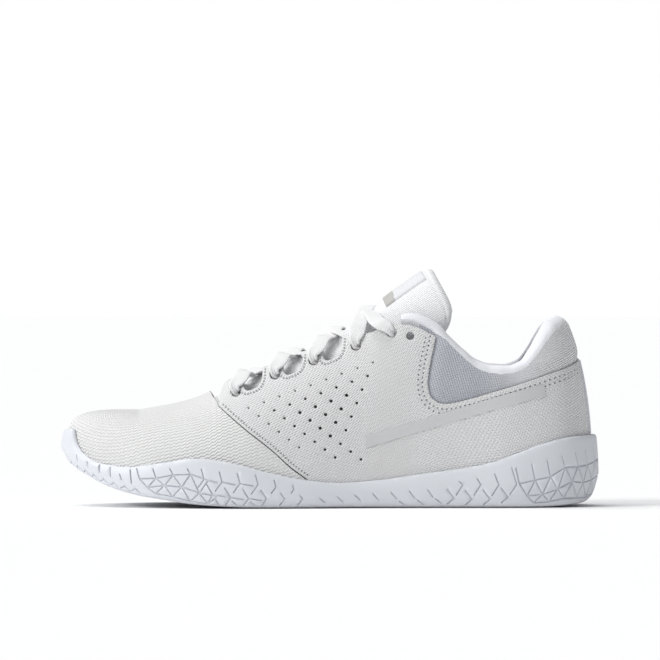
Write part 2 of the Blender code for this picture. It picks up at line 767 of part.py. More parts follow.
def half_lacing(start, upper_first):
    """Half of the lace, from the middle of the bar over the throat to its last eyelet."""
    s, z = EYELETS[0]
    rise = rise_at(s, start, z)
    route = [
        over_tongue(s, 0, 1.6),
        over_tongue(s, start * 6, 1.7),
        below_skin(s, start, rise + 0.16, UNDER_FLAP + 0.2),
        below_skin(s, start, rise + 0.08, UNDER_FLAP + 0.2),
    ]
    route += through_eyelet(0, start)
    side = start
    for k in range(LACED - 1):
        route += strand(k, side, upper_first == (k % 2 == 0))
        side = -side
    return route


def tail_start(side):
    """Where the free end goes on from the lace's last eyelet, a gap below its end."""
    s, z = EYELETS[LACED - 1]
    rise = rise_at(s, side, z)
    return [below_skin(s, side, rise, UNDER_FLAP + depth) for depth in (0.8, 2.6)]


def make_laces():
    one = half_lacing(LATERAL, True)
    other = half_lacing(MEDIAL, False)
    cord("shoelace", one[:0:-1] + other, 4.5)
    for word, side in SIDES.items():
        route = [*tail_start(side), *((x, side * y + centre(x), z) for x, y, z in TAIL_ROUTE)]
        points = cord(f"lace_end_{word}", route, 6)
        ahead = points[-1] - points[-2]
        make_aglet(f"aglet_{word}", points[-1], ahead / np.linalg.norm(ahead))


def make_aglet(name, start, ahead):
    """The hard tube on a lace end, with a slightly narrower mouth and tip."""
    side = np.cross(ahead, (0, 0, 1))
    side /= np.linalg.norm(side)
    up = np.cross(side, ahead)
    profile = [(0.3, 0.8), (1.0, 1), (AGLET_LENGTH - 1.0, 1), (AGLET_LENGTH, 0.7)]
    turns = np.arange(AGLET_SIDES) * math.tau / AGLET_SIDES
    points = [
        start + ahead * x + (side * math.cos(a) + up * math.sin(a)) * AGLET_RADIUS * r
        for x, r in profile
        for a in turns
    ]
    faces = [list(range(AGLET_SIDES)), [len(points) - 1 - k for k in range(AGLET_SIDES)]]
    for a in range(0, len(points) - AGLET_SIDES, AGLET_SIDES):
        b = a + AGLET_SIDES
        for k in range(AGLET_SIDES):
            after = (k + 1) % AGLET_SIDES
            faces.append((a + k, a + after, b + after, b + k))
    solid(name, "aglet_clear", points, faces)


def axis(name, x, z):
    """An empty on a joint's axis."""
    empty = bpy.data.objects.new(name, None)
    empty.location = (x * MM, 0, z * MM)
    bpy.context.scene.collection.objects.link(empty)
    return empty


def main():
    for obj in list(bpy.data.objects):
        bpy.data.objects.remove(obj, do_unlink=True)
    fold = axis("tongue_fold_axis", TONGUE_HINGE, ridge(TONGUE_HINGE))
    lift = axis("sockliner_lift_axis", SOCKLINER_SPLIT_X, board(SOCKLINER_SPLIT_X) + SOCKLINER[1])
    make_sole()
    make_insoles(lift)
    make_toe()
    for word, side in SIDES.items():
        make_quarter(word, side)
    make_heel()
    make_collar()
    make_tongue(fold)
    make_stripes()
    make_laces()


main()
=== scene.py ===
"""The looks of the cheer shoe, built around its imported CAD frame.

The first part repeats the shape of the CAD model: the same knots, the same skin formula and the
same lace routes, in millimetres. Each piece is then made from it in a finer mesh. Points become
metres in make_mesh, the only place where a piece is made.
"""

import math

import bmesh
import bpy
import numpy as np
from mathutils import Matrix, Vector
from mathutils.geometry import delaunay_2d_cdt
from mathutils.kdtree import KDTree


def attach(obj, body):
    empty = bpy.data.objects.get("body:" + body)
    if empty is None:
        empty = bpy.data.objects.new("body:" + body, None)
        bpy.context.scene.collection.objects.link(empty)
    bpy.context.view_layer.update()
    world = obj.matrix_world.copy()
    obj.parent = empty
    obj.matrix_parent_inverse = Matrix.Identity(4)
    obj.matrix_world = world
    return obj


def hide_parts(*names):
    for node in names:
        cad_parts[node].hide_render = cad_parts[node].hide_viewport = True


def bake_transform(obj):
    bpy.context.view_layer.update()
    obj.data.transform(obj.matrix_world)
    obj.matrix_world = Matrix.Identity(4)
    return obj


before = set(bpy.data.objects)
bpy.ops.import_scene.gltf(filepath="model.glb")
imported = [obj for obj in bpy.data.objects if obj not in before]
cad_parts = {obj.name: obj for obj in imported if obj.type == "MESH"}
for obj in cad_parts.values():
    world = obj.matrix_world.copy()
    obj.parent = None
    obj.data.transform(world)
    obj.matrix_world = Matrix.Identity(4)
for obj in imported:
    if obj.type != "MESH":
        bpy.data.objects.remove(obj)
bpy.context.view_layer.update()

MM = 0.001
LATERAL = -1
MEDIAL = 1
SIDES = {"lateral": LATERAL, "medial": MEDIAL}

# ---------------------------------------------------------------- the CAD model's own numbers

TOE_X, HEEL_X = -95.0, 85.0
TOE_FAN, HEEL_FAN = 40.0, 45.0
TOE_TIP, HEEL_TIP = TOE_X - TOE_FAN, HEEL_X + HEEL_FAN
FEATHER = 3.4
UNDER_FLAP, OVER_FLAP = 4.3, -1.6
TONGUE_CLEARANCE = 5.4
TONGUE_START, TONGUE_HINGE, TONGUE_TIP = -66.0, 25.5, 50.6
ARCH_POWER = 1.8
SOCKLINER_INSET = 10.6
SOCKLINER = (2.5, 6.3)
AGLET_LENGTH = 18.0

PLAN = [
    (-134.4, 5.5), (-128, -10.5), (-112, -26.5), (-86, -41), (-50, -48), (-15, -45),
    (20, -38.5), (60, -36), (95, -35), (120, -27), (132.5, -11), (134.4, 0.5),
    (132.5, 12), (120, 27.5), (95, 35), (60, 33), (22, 31.5), (-15, 35),
    (-50, 45.2), (-74, 48.4), (-100, 43), (-120, 31), (-130.5, 19.5),
]
GROUND = [
    (-134.4, 27), (-130.7, 21.7), (-122, 16), (-108.5, 9.6), (-95.2, 6), (-81.7, 3.8),
    (-68.2, 1.8), (-55, 0.8), (-41, 0.2), (-25, 0), (102, 0), (118.8, 0.8), (126.5, 2),
    (130.5, 4.5), (134.4, 12),
]
BOARD = [
    (-134, 30), (-122, 24), (-108.5, 18), (-95, 14.2), (-68, 10.2), (-41, 9), (0, 9),
    (50, 10.5), (100, 12), (134, 13),
]
WALL_TOP = [
    (-134.4, 37.5), (-130.2, 38.5), (-128.7, 32.5), (-124.7, 26.5), (-114.7, 21.5),
    (-99.7, 20), (-84.7, 22), (-64.7, 24.5), (-49.7, 22.5), (-29.7, 17.5), (-9.7, 13.5),
    (5, 12.4), (24.7, 13.7), (44.5, 16.5), (64.2, 19.2), (79.2, 22), (94, 27),
    (108.7, 32), (123.7, 35), (134.4, 35.5),
]
WALL_BULGE = [(-134.4, 28), (-122, 22), (-100, 14), (-60, 10), (0, 6), (60, 8), (134.4, 17)]
CENTRE = [(-95, 5), (-60, 1), (-20, -1), (30, -1), (85, 0)]
CREST = [
    (-95, 47.8), (-88, 49), (-77.2, 51), (-68.2, 53.5), (-60, 57), (-56, 60.2), (-52.7, 63),
    (-46, 67), (-30, 74.5), (-8, 84), (0, 88), (18, 98), (31, 112), (45, 124), (60, 127),
    (85, 123), (130, 119),
]
FULLNESS = [
    (-135, 4), (-110, 3.2), (-90, 2.6), (-60, 2.2), (-46, 2), (0, 2.1), (18, 2.3), (45, 3),
    (85, 3), (110, 2.4), (130, 2.2),
]
TOE_SEAM = [(-56, 51), (-42, 39), (-28, 28), (-18, 19), (-11, 14)]
THROAT = [(-60, 0), (-59.3, 11), (-58, 20), (-55.5, 28)]
FLAP_TOP = [
    (-55.5, 52.5), (-54, 58), (-52.7, 61), (-43, 65.6), (-31.7, 69.5), (-11.2, 76.8),
    (8.2, 84.5), (16.6, 85.7), (23.5, 87.8), (33, 90.1), (37.7, 90.5), (45.2, 88.6), (49, 86.5),
]
PANEL_LOW = [(49.4, 57), (53, 51.9), (58, 51.3), (67, 53), (81, 57), (95, 61.5), (112, 68),
             (130, 73.7)]
COLLAR_TOP = [
    (35.5, 95), (37, 95.6), (41, 95.9), (48, 93.7), (55, 89.5), (60, 84), (67, 77.5),
    (74, 72), (81, 70), (88, 69.8), (95, 72), (102, 79.5), (108, 87), (114, 92), (130, 94.5),
]
ROLL_DEPTH = [(35.5, 3.4), (39, 4.4), (46, 5), (130, 5)]
ROLL_WIDTH = [(35.5, 0.5), (41, 0.6), (55, 0.85), (75, 1), (130, 1)]
ROLL_SECTION = [
    (0.3, 4.6), (-0.2, 2.6), (1.0, 0.6), (3.8, -0.4), (6.6, 0.8), (7.8, 3.2), (8.0, 8.0),
    (8.0, 24.0), (7.1, 24.0), (7.1, 8.0), (6.9, 5.2),
]
SCALLOPS = [(-38.4, 58.5), (-18.5, 66.3), (1.2, 73.5)]
SCALLOP_HALF = 5.0
EYELETS = [(-46.7, 57.5), (-27.2, 66), (-8, 73), (13, 80.3), (30.7, 86.8), (40, 85)]
LACED = 5
STRIPE = [(18, 32.5), (104, 58)]
STRIPE_HALF = 3.0
RIDGE = [(-66, 48.5), (-58, 53.5), (-46, 59.5), (-30, 68), (0, 83.5), (18, 94.5), (25.5, 101.5),
         (41.2, 113), (48.2, 117.7), (52, 120)]
ARCH_WIDTH = [(-58, 21), (-20, 20), (0, 18.5), (31, 18), (48, 17.8)]
ARCH_HEIGHT = [(-58, 8), (-47, 12.5), (-30, 17), (0, 22), (31, 23), (48, 22)]
ARCH_LEAN = [(-58, 0), (0, 0.15), (25.5, 0.45), (48, 0.55)]
TAIL_ROUTE = [
    (32.6, 17.6, 81), (31.5, 18.8, 76), (27, 19.4, 68.5), (18.5, 19.6, 60), (8, 20.2, 50),
    (-4, 21.6, 40), (-16, 24, 31), (-28, 26.5, 24.2), (-42, 29.5, 20), (-56, 32, 18.2),
    (-70, 33, 18.8), (-84, 31.6, 20.8), (-93.5, 26.5, 22.6), (-97, 19, 23.4),
    (-93.5, 11.5, 22.6), (-85, 6.8, 21), (-72, 5.2, 18.7), (-58, 5, 18.4),
]


def smooth(knots):
    """A smooth curve through (x, value) knots that never overshoots them."""
    x, y = np.array(knots, float).T
    step = np.diff(x)
    slope = np.diff(y) / step
    tangent = np.concatenate([slope[:1], np.zeros(len(x) - 2), slope[-1:]])
    for k in range(1, len(x) - 1):
        if slope[k - 1] * slope[k] > 0:
            near, far = 2 * step[k] + step[k - 1], step[k] + 2 * step[k - 1]
            tangent[k] = (near + far) / (near / slope[k - 1] + far / slope[k])

    def value(at):
        at = np.clip(at, x[0], x[-1])
        k = np.clip(np.searchsorted(x, at, side="right") - 1, 0, len(step) - 1)
        t = (at - x[k]) / step[k]
        bend = tangent[k] * t * (1 - t) ** 2 - tangent[k + 1] * t * t * (1 - t)
        return y[k] + (y[k + 1] - y[k]) * t * t * (3 - 2 * t) + step[k] * bend

    return value


def catmull(p, per_span):
    """Points on a Catmull-Rom curve; p has one extra point at each end."""
    t = (np.arange(per_span) / per_span)[:, None]
    found = []
    for a, b, c, d in zip(p, p[1:], p[2:], p[3:]):
        found.append(
            b + 0.5 * t * (c - a + t * (2 * a - 5 * b + 4 * c - d)
                           + t * t * (3 * (b - c) + d - a))
        )
    return np.concatenate(found)


def closed_spline(points, per_span):
    p = np.array(points, float)
    return catmull(np.vstack([p[-1:], p, p[:2]]), per_span)


def lengths(p):
    """Distance along a line of points, from its first."""
    return np.concatenate([[0], np.cumsum(np.linalg.norm(np.diff(p, axis=0), axis=1))])


def resample(p, spacing):
    """Evenly spaced points along a line of points."""
    along = lengths(p)
    at = np.linspace(0, along[-1], max(2, round(along[-1] / spacing) + 1))
    return np.stack([np.interp(at, along, p[:, k]) for k in range(p.shape[1])], 1)


def open_spline(points, spacing):
    p = np.array(points, float)
    p = np.vstack([2 * p[0] - p[1], p, 2 * p[-1] - p[-2]])
    return resample(np.vstack([catmull(p, 24), p[-2:-1]]), spacing)


ground, board, wall_top, wall_bulge = (smooth(k) for k in (GROUND, BOARD, WALL_TOP, WALL_BULGE))
centre, crest, fullness = (smooth(k) for k in (CENTRE, CREST, FULLNESS))
toe_seam, throat, panel_low = (smooth(k) for k in (TOE_SEAM, THROAT, PANEL_LOW))
flap_line, collar_top = smooth(FLAP_TOP), smooth(COLLAR_TOP)
roll_depth, roll_width = smooth(ROLL_DEPTH), smooth(ROLL_WIDTH)
ridge, arch_width, arch_height, arch_lean = (
    smooth(k) for k in (RIDGE, ARCH_WIDTH, ARCH_HEIGHT, ARCH_LEAN)
)

OUTLINE = closed_spline(PLAN, 24)
OUTLINE -= (OUTLINE.min(0) + OUTLINE.max(0)) / 2
REACH_STATIONS = np.arange(TOE_TIP, HEEL_TIP + 0.01, 0.25)


def plan_frame(s, side):
    """Centre point and outward direction of a station, in plan."""
    toe = np.clip((TOE_X - s) / TOE_FAN, 0, 1) * math.pi / 2
    heel = np.clip((s - HEEL_X) / HEEL_FAN, 0, 1) * math.pi / 2
    middle_x = np.clip(s, TOE_X, HEEL_X)
    middle = np.stack([middle_x, centre(middle_x)], -1)
    out = np.stack([np.sin(heel) - np.sin(toe), side * np.cos(heel) * np.cos(toe)], -1)
    return middle, out


def measured_reach(side):
    """Distance from each station's centre to the sole's outline."""
    middle, out = plan_frame(REACH_STATIONS, side)
    start = OUTLINE[None] - middle[:, None]
    edge = (np.roll(OUTLINE, -1, 0) - OUTLINE)[None]
    ox, oy = out[:, :1], out[:, 1:]
    cross = ox * edge[..., 1] - oy * edge[..., 0]
    cross = np.where(abs(cross) < 1e-9, 1e-9, cross)
    reach = (start[..., 0] * edge[..., 1] - start[..., 1] * edge[..., 0]) / cross
    where = (start[..., 0] * oy - start[..., 1] * ox) / cross
    hit = (where >= -1e-9) & (where <= 1 + 1e-9)
    return np.where(hit, reach, -1).max(1)


REACH = {side: measured_reach(side) for side in (LATERAL, MEDIAL)}


def reach_at(s, side):
    lateral, medial = (np.interp(s, REACH_STATIONS, REACH[k]) for k in (LATERAL, MEDIAL))
    return np.where(side < 0, lateral, medial)


def plan_point(s, side, inset):
    middle, out = plan_frame(s, side)
    return middle + out * (reach_at(s, side) - inset)[..., None]


def foot_height(s, side):
    """Height of the upper's lower edge, just above the board of the sole."""
    return board(plan_point(s, side, FEATHER)[..., 0]) + 0.5


def skin(s, side, rise):
    """Points on the upper's outer skin."""
    s, side, rise = np.broadcast_arrays(*(np.asarray(v, float) for v in (s, side, rise)))
    middle, out = plan_frame(s, side)
    own, other = reach_at(s, side), reach_at(s, -side)
    angle = np.clip(rise, 0, 1) * math.pi / 2
    up = np.sin(angle) ** (2 / fullness(s))
    flat = np.maximum(np.cos(angle), 0) ** (2 / fullness(s))
    distance = (own + (other - own) / 2 * up * up - FEATHER) * flat
    low = foot_height(s, side)
    xy = middle + out * distance[..., None]
    return np.concatenate([xy, (low + (crest(s) - low) * up)[..., None]], -1)


def rise_at(s, side, z):
    """The rise at which the skin is z high."""
    low = foot_height(s, side)
    up = np.clip((z - low) / (crest(s) - low), 0, 1)
    return np.arcsin(up ** (fullness(s) / 2)) / (math.pi / 2)


def normal(s, side, rise):
    """The skin's outward direction."""
    rise = np.clip(rise, 0.02, 0.97)
    along = skin(s + 0.5, side, rise) - skin(s - 0.5, side, rise)
    up = skin(s, side, rise + 0.02) - skin(s, side, rise - 0.02)
    n = np.cross(along, up) * -np.asarray(side, float)[..., None]
    return n / np.linalg.norm(n, axis=-1, keepdims=True)


def below_skin(s, side, rise, depth):
    s, side, rise, depth = np.broadcast_arrays(
        *(np.asarray(v, float) for v in (s, side, rise, depth))
    )
    return skin(s, side, rise) - normal(s, side, rise) * depth[..., None]


GIRTH_STEP, GIRTH_ROWS = 1.0, 60


def girth_table(side):
    """Height of the skin's foot plus the length up its side, by station and rise."""
    s = np.arange(TOE_TIP, HEEL_TIP + GIRTH_STEP, GIRTH_STEP)[:, None]
    p = skin(s, float(side), np.arange(GIRTH_ROWS + 1)[None] / GIRTH_ROWS)
    up = np.cumsum(np.linalg.norm(np.diff(p, axis=1), axis=-1), 1)
    return p[:, :1, 2] + np.concatenate([np.zeros((len(s), 1)), up], 1)


GIRTH = {side: girth_table(side) for side in (LATERAL, MEDIAL)}


def on_side(at, side, depth):
    """Points below the skin of one side, from (station, height) pairs."""
    at = np.asarray(at, float)
    s, z = at[..., 0], at[..., 1]
    return below_skin(s, side, rise_at(s, side, z), depth)


def flap_top(s):
    """The lace edge of a quarter, with its scallops between the eyelets."""
    z = flap_line(s)
    for middle, bottom in SCALLOPS:
        across = np.clip(abs(s - middle) / SCALLOP_HALF, 0, 1)
        z = z - (flap_line(middle) - bottom) * (1 - across**3) ** (1 / 3)
    return z


def eyelet_line(s):
    first, last = EYELETS[0], EYELETS[LACED - 1]
    return first[1] + (s - first[0]) * (last[1] - first[1]) / (last[0] - first[0])


# ---------------------------------------------------------------- meshes


def make_mesh(name, points, faces, material, weave=None, angle=40):
    """One mesh object from points in millimetres. weave is the material's own coordinate."""
    mesh = bpy.data.meshes.new(name)
    mesh.from_pydata((np.asarray(points, float) * MM).tolist(), [], [list(f) for f in faces])
    if weave is not None:
        held = mesh.attributes.new("weave", "FLOAT_VECTOR", "POINT")
        held.data.foreach_set("vector", np.asarray(weave, np.float32).ravel())
    work = bmesh.new()
    work.from_mesh(mesh)
    bmesh.ops.remove_doubles(work, verts=work.verts, dist=0.004 * MM)
    bmesh.ops.recalc_face_normals(work, faces=work.faces)
    work.to_mesh(mesh)
    work.free()
    mesh.shade_smooth()
    mesh.set_sharp_from_angle(angle=math.radians(angle))
    obj = bpy.data.objects.new(name, mesh)
    bpy.context.scene.collection.objects.link(obj)
    for each in material if isinstance(material, (list, tuple)) else [material]:
        mesh.materials.append(each)
    return obj


def grid_faces(rows, columns):
    """The four-sided faces between a grid's points."""
    index = np.arange(rows * columns).reshape(rows, columns)
    a, b, c, d = index[:-1, :-1], index[1:, :-1], index[1:, 1:], index[:-1, 1:]
    return np.stack([a, b, c, d], -1).reshape(-1, 4).tolist()


def there_and_back(there):
    """Stations from the toe to the heel on one side and back on the other, and the sides."""
    side = np.concatenate([np.full(len(there), -1.0), np.full(len(there) - 1, 1.0)])
    return np.concatenate([there, there[-2::-1]]), side


TOE_STRETCH, HEEL_STRETCH = 0.45, 0.7


def skin_weave(s, side, rise):
    """Length along the shoe, girth below its crest, and how far off the toe's pole."""
    s, side, rise = np.broadcast_arrays(*(np.asarray(v, float) for v in (s, side, rise)))
    i = np.clip((s - TOE_TIP) / GIRTH_STEP, 0, len(GIRTH[1]) - 1.001)
    j = np.clip(rise * GIRTH_ROWS, 0, GIRTH_ROWS - 0.001)
    a, b = i.astype(int), j.astype(int)
    p, q = i - a, j - b
    girth = 0
    for word in (LATERAL, MEDIAL):
        table = GIRTH[word]
        near = table[a, b] * (1 - q) + table[a, b + 1] * q
        far = table[a + 1, b] * (1 - q) + table[a + 1, b + 1] * q
        crown = table[a, -1] * (1 - p) + table[a + 1, -1] * p
        girth = girth + np.where(side == word, near * (1 - p) + far * p - crown, 0)
    toe, heel = np.maximum(TOE_X - s, 0), np.maximum(s - HEEL_X, 0)
    even = 1 - np.clip(1 + girth / 16, 0, 1) * np.clip((TOE_X + 18 - s) / 18, 0, 1)
    return np.stack([s - toe * TOE_STRETCH + heel * HEEL_STRETCH, girth, even], -1)


def shell(name, material, outer, inner, weave):
    """A closed sheet between two grids of points, whose coinciding points are joined."""
    flat = outer.reshape(-1, 3)
    _, first, which = np.unique(
        np.round(flat, 2), axis=0, return_index=True, return_inverse=True
    )
    which = which.ravel()
    count = len(first)
    held = np.bincount(which)[:, None]
    back = np.stack([np.bincount(which, inner.reshape(-1, 3)[:, k]) for k in range(3)], 1) / held
    front, used = [], {}
    for quad in grid_faces(*outer.shape[:2]):
        face = list(dict.fromkeys(int(which[v]) for v in quad))
        if len(face) < 3:
            continue
        front.append(face)
        for edge in zip(face, face[1:] + face[:1]):
            key = frozenset(edge)
            used[key] = None if key in used else edge
    faces = front + [[v + count for v in reversed(face)] for face in front]
    faces += [(b, a, a + count, b + count) for a, b in filter(None, used.values())]
    points = np.concatenate([flat[first], back])
    weave = weave.reshape(-1, 3)[first]
    return make_mesh(name, points, faces, material, np.concatenate([weave, weave]))


def grid_normals(p):
    n = np.cross(np.gradient(p, axis=0), np.gradient(p, axis=1))
    return n / np.maximum(np.linalg.norm(n, axis=-1, keepdims=True), 1e-9)


def dressed(piece, body, slot, *nodes):
    """A piece that rides on a body and stands for its CAD nodes; slot is not used."""
    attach(piece, body)
    if nodes:
        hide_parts(*nodes)
    return piece


def inside(points, polygon):
    """Which points lie in a polygon."""
    x, y = points[:, :1], points[:, 1:]
    a, b = polygon, np.roll(polygon, -1, 0)
    above = (a[:, 1] > y) != (b[:, 1] > y)
    rise = np.where(b[:, 1] == a[:, 1], 1e-9, b[:, 1] - a[:, 1])
    left = x < (b[:, 0] - a[:, 0]) * (y - a[:, 1]) / rise + a[:, 0]
    return (above & left).sum(1) % 2 == 1


def distance_to(points, line, step=0.25):
    """Distance from each point to a line of points."""
    held = resample(line, step)
    tree = KDTree(len(held))
    for k, p in enumerate(held):
        tree.insert((*p, 0), k)
    tree.balance()
    return np.array([tree.find((*p, 0))[2] for p in points])


def closed(line):
    return np.vstack([line, line[:1]])


def offset_loop(loop, by):
    """A closed loop moved sideways; by is positive inwards for a counter-clockwise loop."""
    along = np.roll(loop, -1, 0) - np.roll(loop, 1, 0)
    along /= np.maximum(np.linalg.norm(along, axis=1, keepdims=True), 1e-9)
    return loop + np.stack([-along[:, 1], along[:, 0]], 1) * by


def circle(middle, radius, count):
    turn = np.arange(count) * math.tau / count
    return np.array(middle) + radius * np.stack([np.cos(turn), np.sin(turn)], 1)


def lattice(low, high, spacing):
    """Points in even triangles over a rectangle."""
    rows = np.arange(low[1], high[1], spacing * 0.87)
    found = []
    for k, y in enumerate(rows):
        x = np.arange(low[0] + (k % 2) * spacing / 2, high[0], spacing)
        found.append(np.stack([x, np.full_like(x, y)], 1))
    return np.concatenate(found)


class Pattern:
    """A flat sheet with fixed lines in it, cut into triangles."""

    def __init__(self, outline):
        self.outline = outline
        self.points = []
        self.edges = []
        self.closed_line(outline)

    def closed_line(self, loop):
        base = len(self.points)
        self.points += [tuple(p) for p in loop]
        count = len(loop)
        self.edges += [(base + k, base + (k + 1) % count) for k in range(count)]

    def line(self, points):
        base = len(self.points)
        self.points += [tuple(p) for p in points]
        self.edges += [(base + k, base + k + 1) for k in range(len(points) - 1)]

    def triangles(self, spacing, clear=0.55):
        low, high = self.outline.min(0), self.outline.max(0)
        fill = lattice(low, high, spacing)
        fill = fill[inside(fill, self.outline)]
        tree = KDTree(len(self.points))
        for k, p in enumerate(self.points):
            tree.insert((*p, 0), k)
        tree.balance()
        fill = [tuple(p) for p in fill if tree.find((*p, 0))[2] > clear * spacing]
        flat = [Vector(p) for p in self.points + fill]
        found = delaunay_2d_cdt(flat, self.edges, [], 0, 1e-5, False)
        points = np.array([tuple(p) for p in found[0]])
        faces = np.array(found[2])
        middles = points[faces].mean(1)
        faces = faces[inside(middles, self.outline)]
        return points, faces


def open_edges(faces):
    """Edges that only one triangle has, in its own direction."""
    edges = np.concatenate([faces[:, [0, 1]], faces[:, [1, 2]], faces[:, [2, 0]]])
    key = np.sort(edges, 1)
    _, where, count = np.unique(key, axis=0, return_index=True, return_counts=True)
    return edges[where[count == 1]]


def thick_sheet(name, material, outer, inner, faces, weave):
    """A closed sheet from a triangulated face and its back."""
    count = len(outer)
    sides = [(b, a, a + count, b + count) for a, b in open_edges(faces)]
    all_faces = faces.tolist() + (faces[:, ::-1] + count).tolist() + sides
    points = np.concatenate([outer, inner])
    return make_mesh(name, points, all_faces, material, np.concatenate([weave, weave]))


def rounded(distance, radius):
    """How far a surface falls away near an edge that is rounded off."""
    q = np.clip(1 - distance / radius, 0, 1)
    return radius * (1 - np.sqrt(1 - q * q))


# ---------------------------------------------------------------- materials


class Finish:
    """A node material with a few short ways of adding nodes."""

    def __init__(self, name, roughness=0.5, **constants):
        self.material = bpy.data.materials.new(name)
        self.material.use_nodes = True
        self.read()
        self.shader.inputs["Roughness"].default_value = roughness
        for socket, value in constants.items():
            self.shader.inputs[socket.replace("_", " ")].default_value = value

    @classmethod
    def over(cls, material):
        """More nodes for a material that has some already."""
        made = cls.__new__(cls)
        made.material = material
        made.read()
        return made

    def read(self):
        self.tree = self.material.node_tree
        self.shader = self.tree.nodes["Principled BSDF"]
        held = self.tree.nodes.new("ShaderNodeAttribute")
        held.attribute_name = "weave"
        parts = self.tree.nodes.new("ShaderNodeSeparateXYZ")
        self.tree.links.new(held.outputs["Vector"], parts.inputs[0])
        self.u, self.v, self.w = parts.outputs
        self.place = self.tree.nodes.new("ShaderNodeTexCoord").outputs["Object"]

    def put(self, socket, value):
        if isinstance(value, bpy.types.NodeSocket):
            self.tree.links.new(value, socket)
        else:
            socket.default_value = value

    def calc(self, operation, *values, clamp=False):
        node = self.tree.nodes.new("ShaderNodeMath")
        node.operation = operation
        node.use_clamp = clamp
        for socket, value in zip(node.inputs, values):
            self.put(socket, value)
        return node.outputs[0]

    def wave(self, along, period, shift=0.0):
        """A cosine from -1 to 1 with a period in millimetres."""
        turned = self.calc("MULTIPLY_ADD", along, math.tau / period, shift)
        return self.calc("COSINE", turned)

    def sloped(self, a, b):
        """u times a plus v times b."""
        return self.calc("ADD", self.calc("MULTIPLY", self.u, a), self.calc("MULTIPLY", self.v, b))

    def staggered(self, along, across, period, row):
        """Staggered bumps from 0 to 1."""
        both = self.calc("MULTIPLY", self.wave(along, period), self.wave(across, 2 * row))
        return self.calc("MULTIPLY_ADD", both, 0.5, 0.5)

    def brick_rows(self, along, across, period, row):
        """Ridges in rows, with staggered dashes on them, from 0 to 1."""
        ridge_wave = self.wave(across, 2 * row)
        dash = self.calc("MULTIPLY", self.wave(along, period), ridge_wave)
        rows = self.calc("MULTIPLY", self.calc("MULTIPLY", ridge_wave, ridge_wave), 0.45)
        return self.calc("ADD", self.calc("MULTIPLY_ADD", dash, 0.275, 0.275), rows)

    def wavy(self, along, across, period, row, swing):
        """Rows that swing from side to side, from 0 to 1."""
        reach = self.calc("MULTIPLY", self.w, swing)
        shift = self.calc("MULTIPLY", self.wave(along, period), reach)
        turned = self.calc("MULTIPLY_ADD", across, math.tau / row, shift)
        return self.calc("MULTIPLY_ADD", self.calc("COSINE", turned), 0.5, 0.5)

    def noise(self, scale, detail=2.0, rough=0.5):
        node = self.tree.nodes.new("ShaderNodeTexNoise")
        self.tree.links.new(self.place, node.inputs["Vector"])
        node.inputs["Scale"].default_value = scale
        node.inputs["Detail"].default_value = detail
        node.inputs["Roughness"].default_value = rough
        return node.outputs["Fac"]

    def mix(self, share, a, b):
        node = self.tree.nodes.new("ShaderNodeMix")
        node.data_type = "RGBA"
        self.put(node.inputs[0], share)
        self.put(node.inputs[6], a)
        self.put(node.inputs[7], b)
        return node.outputs[2]

    def colour(self, dark, light, share):
        self.put(self.shader.inputs["Base Color"], self.mix(share, (*dark, 1), (*light, 1)))

    def bump(self, height, depth_mm, strength=1.0):
        node = self.tree.nodes.new("ShaderNodeBump")
        node.inputs["Strength"].default_value = strength
        node.inputs["Distance"].default_value = depth_mm * MM
        self.put(node.inputs["Height"], height)
        if self.shader.inputs["Normal"].is_linked:
            before = self.shader.inputs["Normal"].links[0].from_socket
            self.tree.links.new(before, node.inputs["Normal"])
        self.tree.links.new(node.outputs["Normal"], self.shader.inputs["Normal"])

    def vary_roughness(self, low, high, scale):
        spread = self.calc("MULTIPLY_ADD", self.noise(scale), high - low, low)
        self.put(self.shader.inputs["Roughness"], spread)


def tinted(colour, by):
    return tuple(c * by for c in colour)


def cloth(name, colour, relief, depth, shade=0.1, roughness=0.8, grain=0.04):
    """A textile: relief gives its weave, which sets both its bump and a painted shade in its low
    parts.
    """
    made = Finish(name, roughness, Sheen_Weight=0.12, Sheen_Roughness=0.5)
    height = relief(made)
    cloudy = made.calc("MULTIPLY", made.noise(60), 0.25)
    # painted shade: the colour darkens where the weave's relief is low; cloudy adds a random tone
    share = made.calc("MULTIPLY_ADD", height, 0.75, cloudy, clamp=True)
    made.colour(tinted(colour, 1 - shade), colour, share)
    made.vary_roughness(roughness - 0.06, roughness + 0.06, 900)
    made.bump(made.noise(2600, 3), grain)
    made.bump(height, depth)
    return made.material


def vamp_relief(m):
    """Wavy rows that follow the sole round the toe."""
    rows = m.calc("POWER", m.wavy(m.u, m.v, 2.7, 1.7, 1.1), 0.8)
    return m.calc("MULTIPLY", rows, m.calc("MULTIPLY_ADD", m.w, 0.8, 0.2))


def quarter_relief(m):
    """Rows of short dashes that rise towards the heel."""
    return m.brick_rows(m.sloped(0.97, 0.26), m.sloped(-0.26, 0.97), 2.2, 1.25)


def mesh_relief(m):
    """A fine slanted mesh that turns into ribs round the heel."""
    along, across = m.sloped(0.87, -0.5), m.sloped(0.5, 0.87)
    net = m.staggered(along, across, 1.7, 0.8)
    ribs = m.calc("MULTIPLY_ADD", m.wave(m.sloped(-0.22, 1.0), 1.15), 0.5, 0.5)
    share = m.calc("MULTIPLY_ADD", m.u, 1 / 36, -84 / 36, clamp=True)
    return m.calc("ADD", m.calc("MULTIPLY", net, m.calc("SUBTRACT", 1.0, share)),
                  m.calc("MULTIPLY", ribs, share))


def rib_relief(m):
    return m.calc("MULTIPLY_ADD", m.wave(m.u, 0.95), 0.5, 0.5)


def knit_relief(m):
    return m.staggered(m.u, m.v, 1.2, 0.8)


def lace_relief(m):
    return m.staggered(m.u, m.v, 1.5, 0.55)


def plain_relief(m):
    return m.staggered(m.u, m.v, 0.9, 0.45)


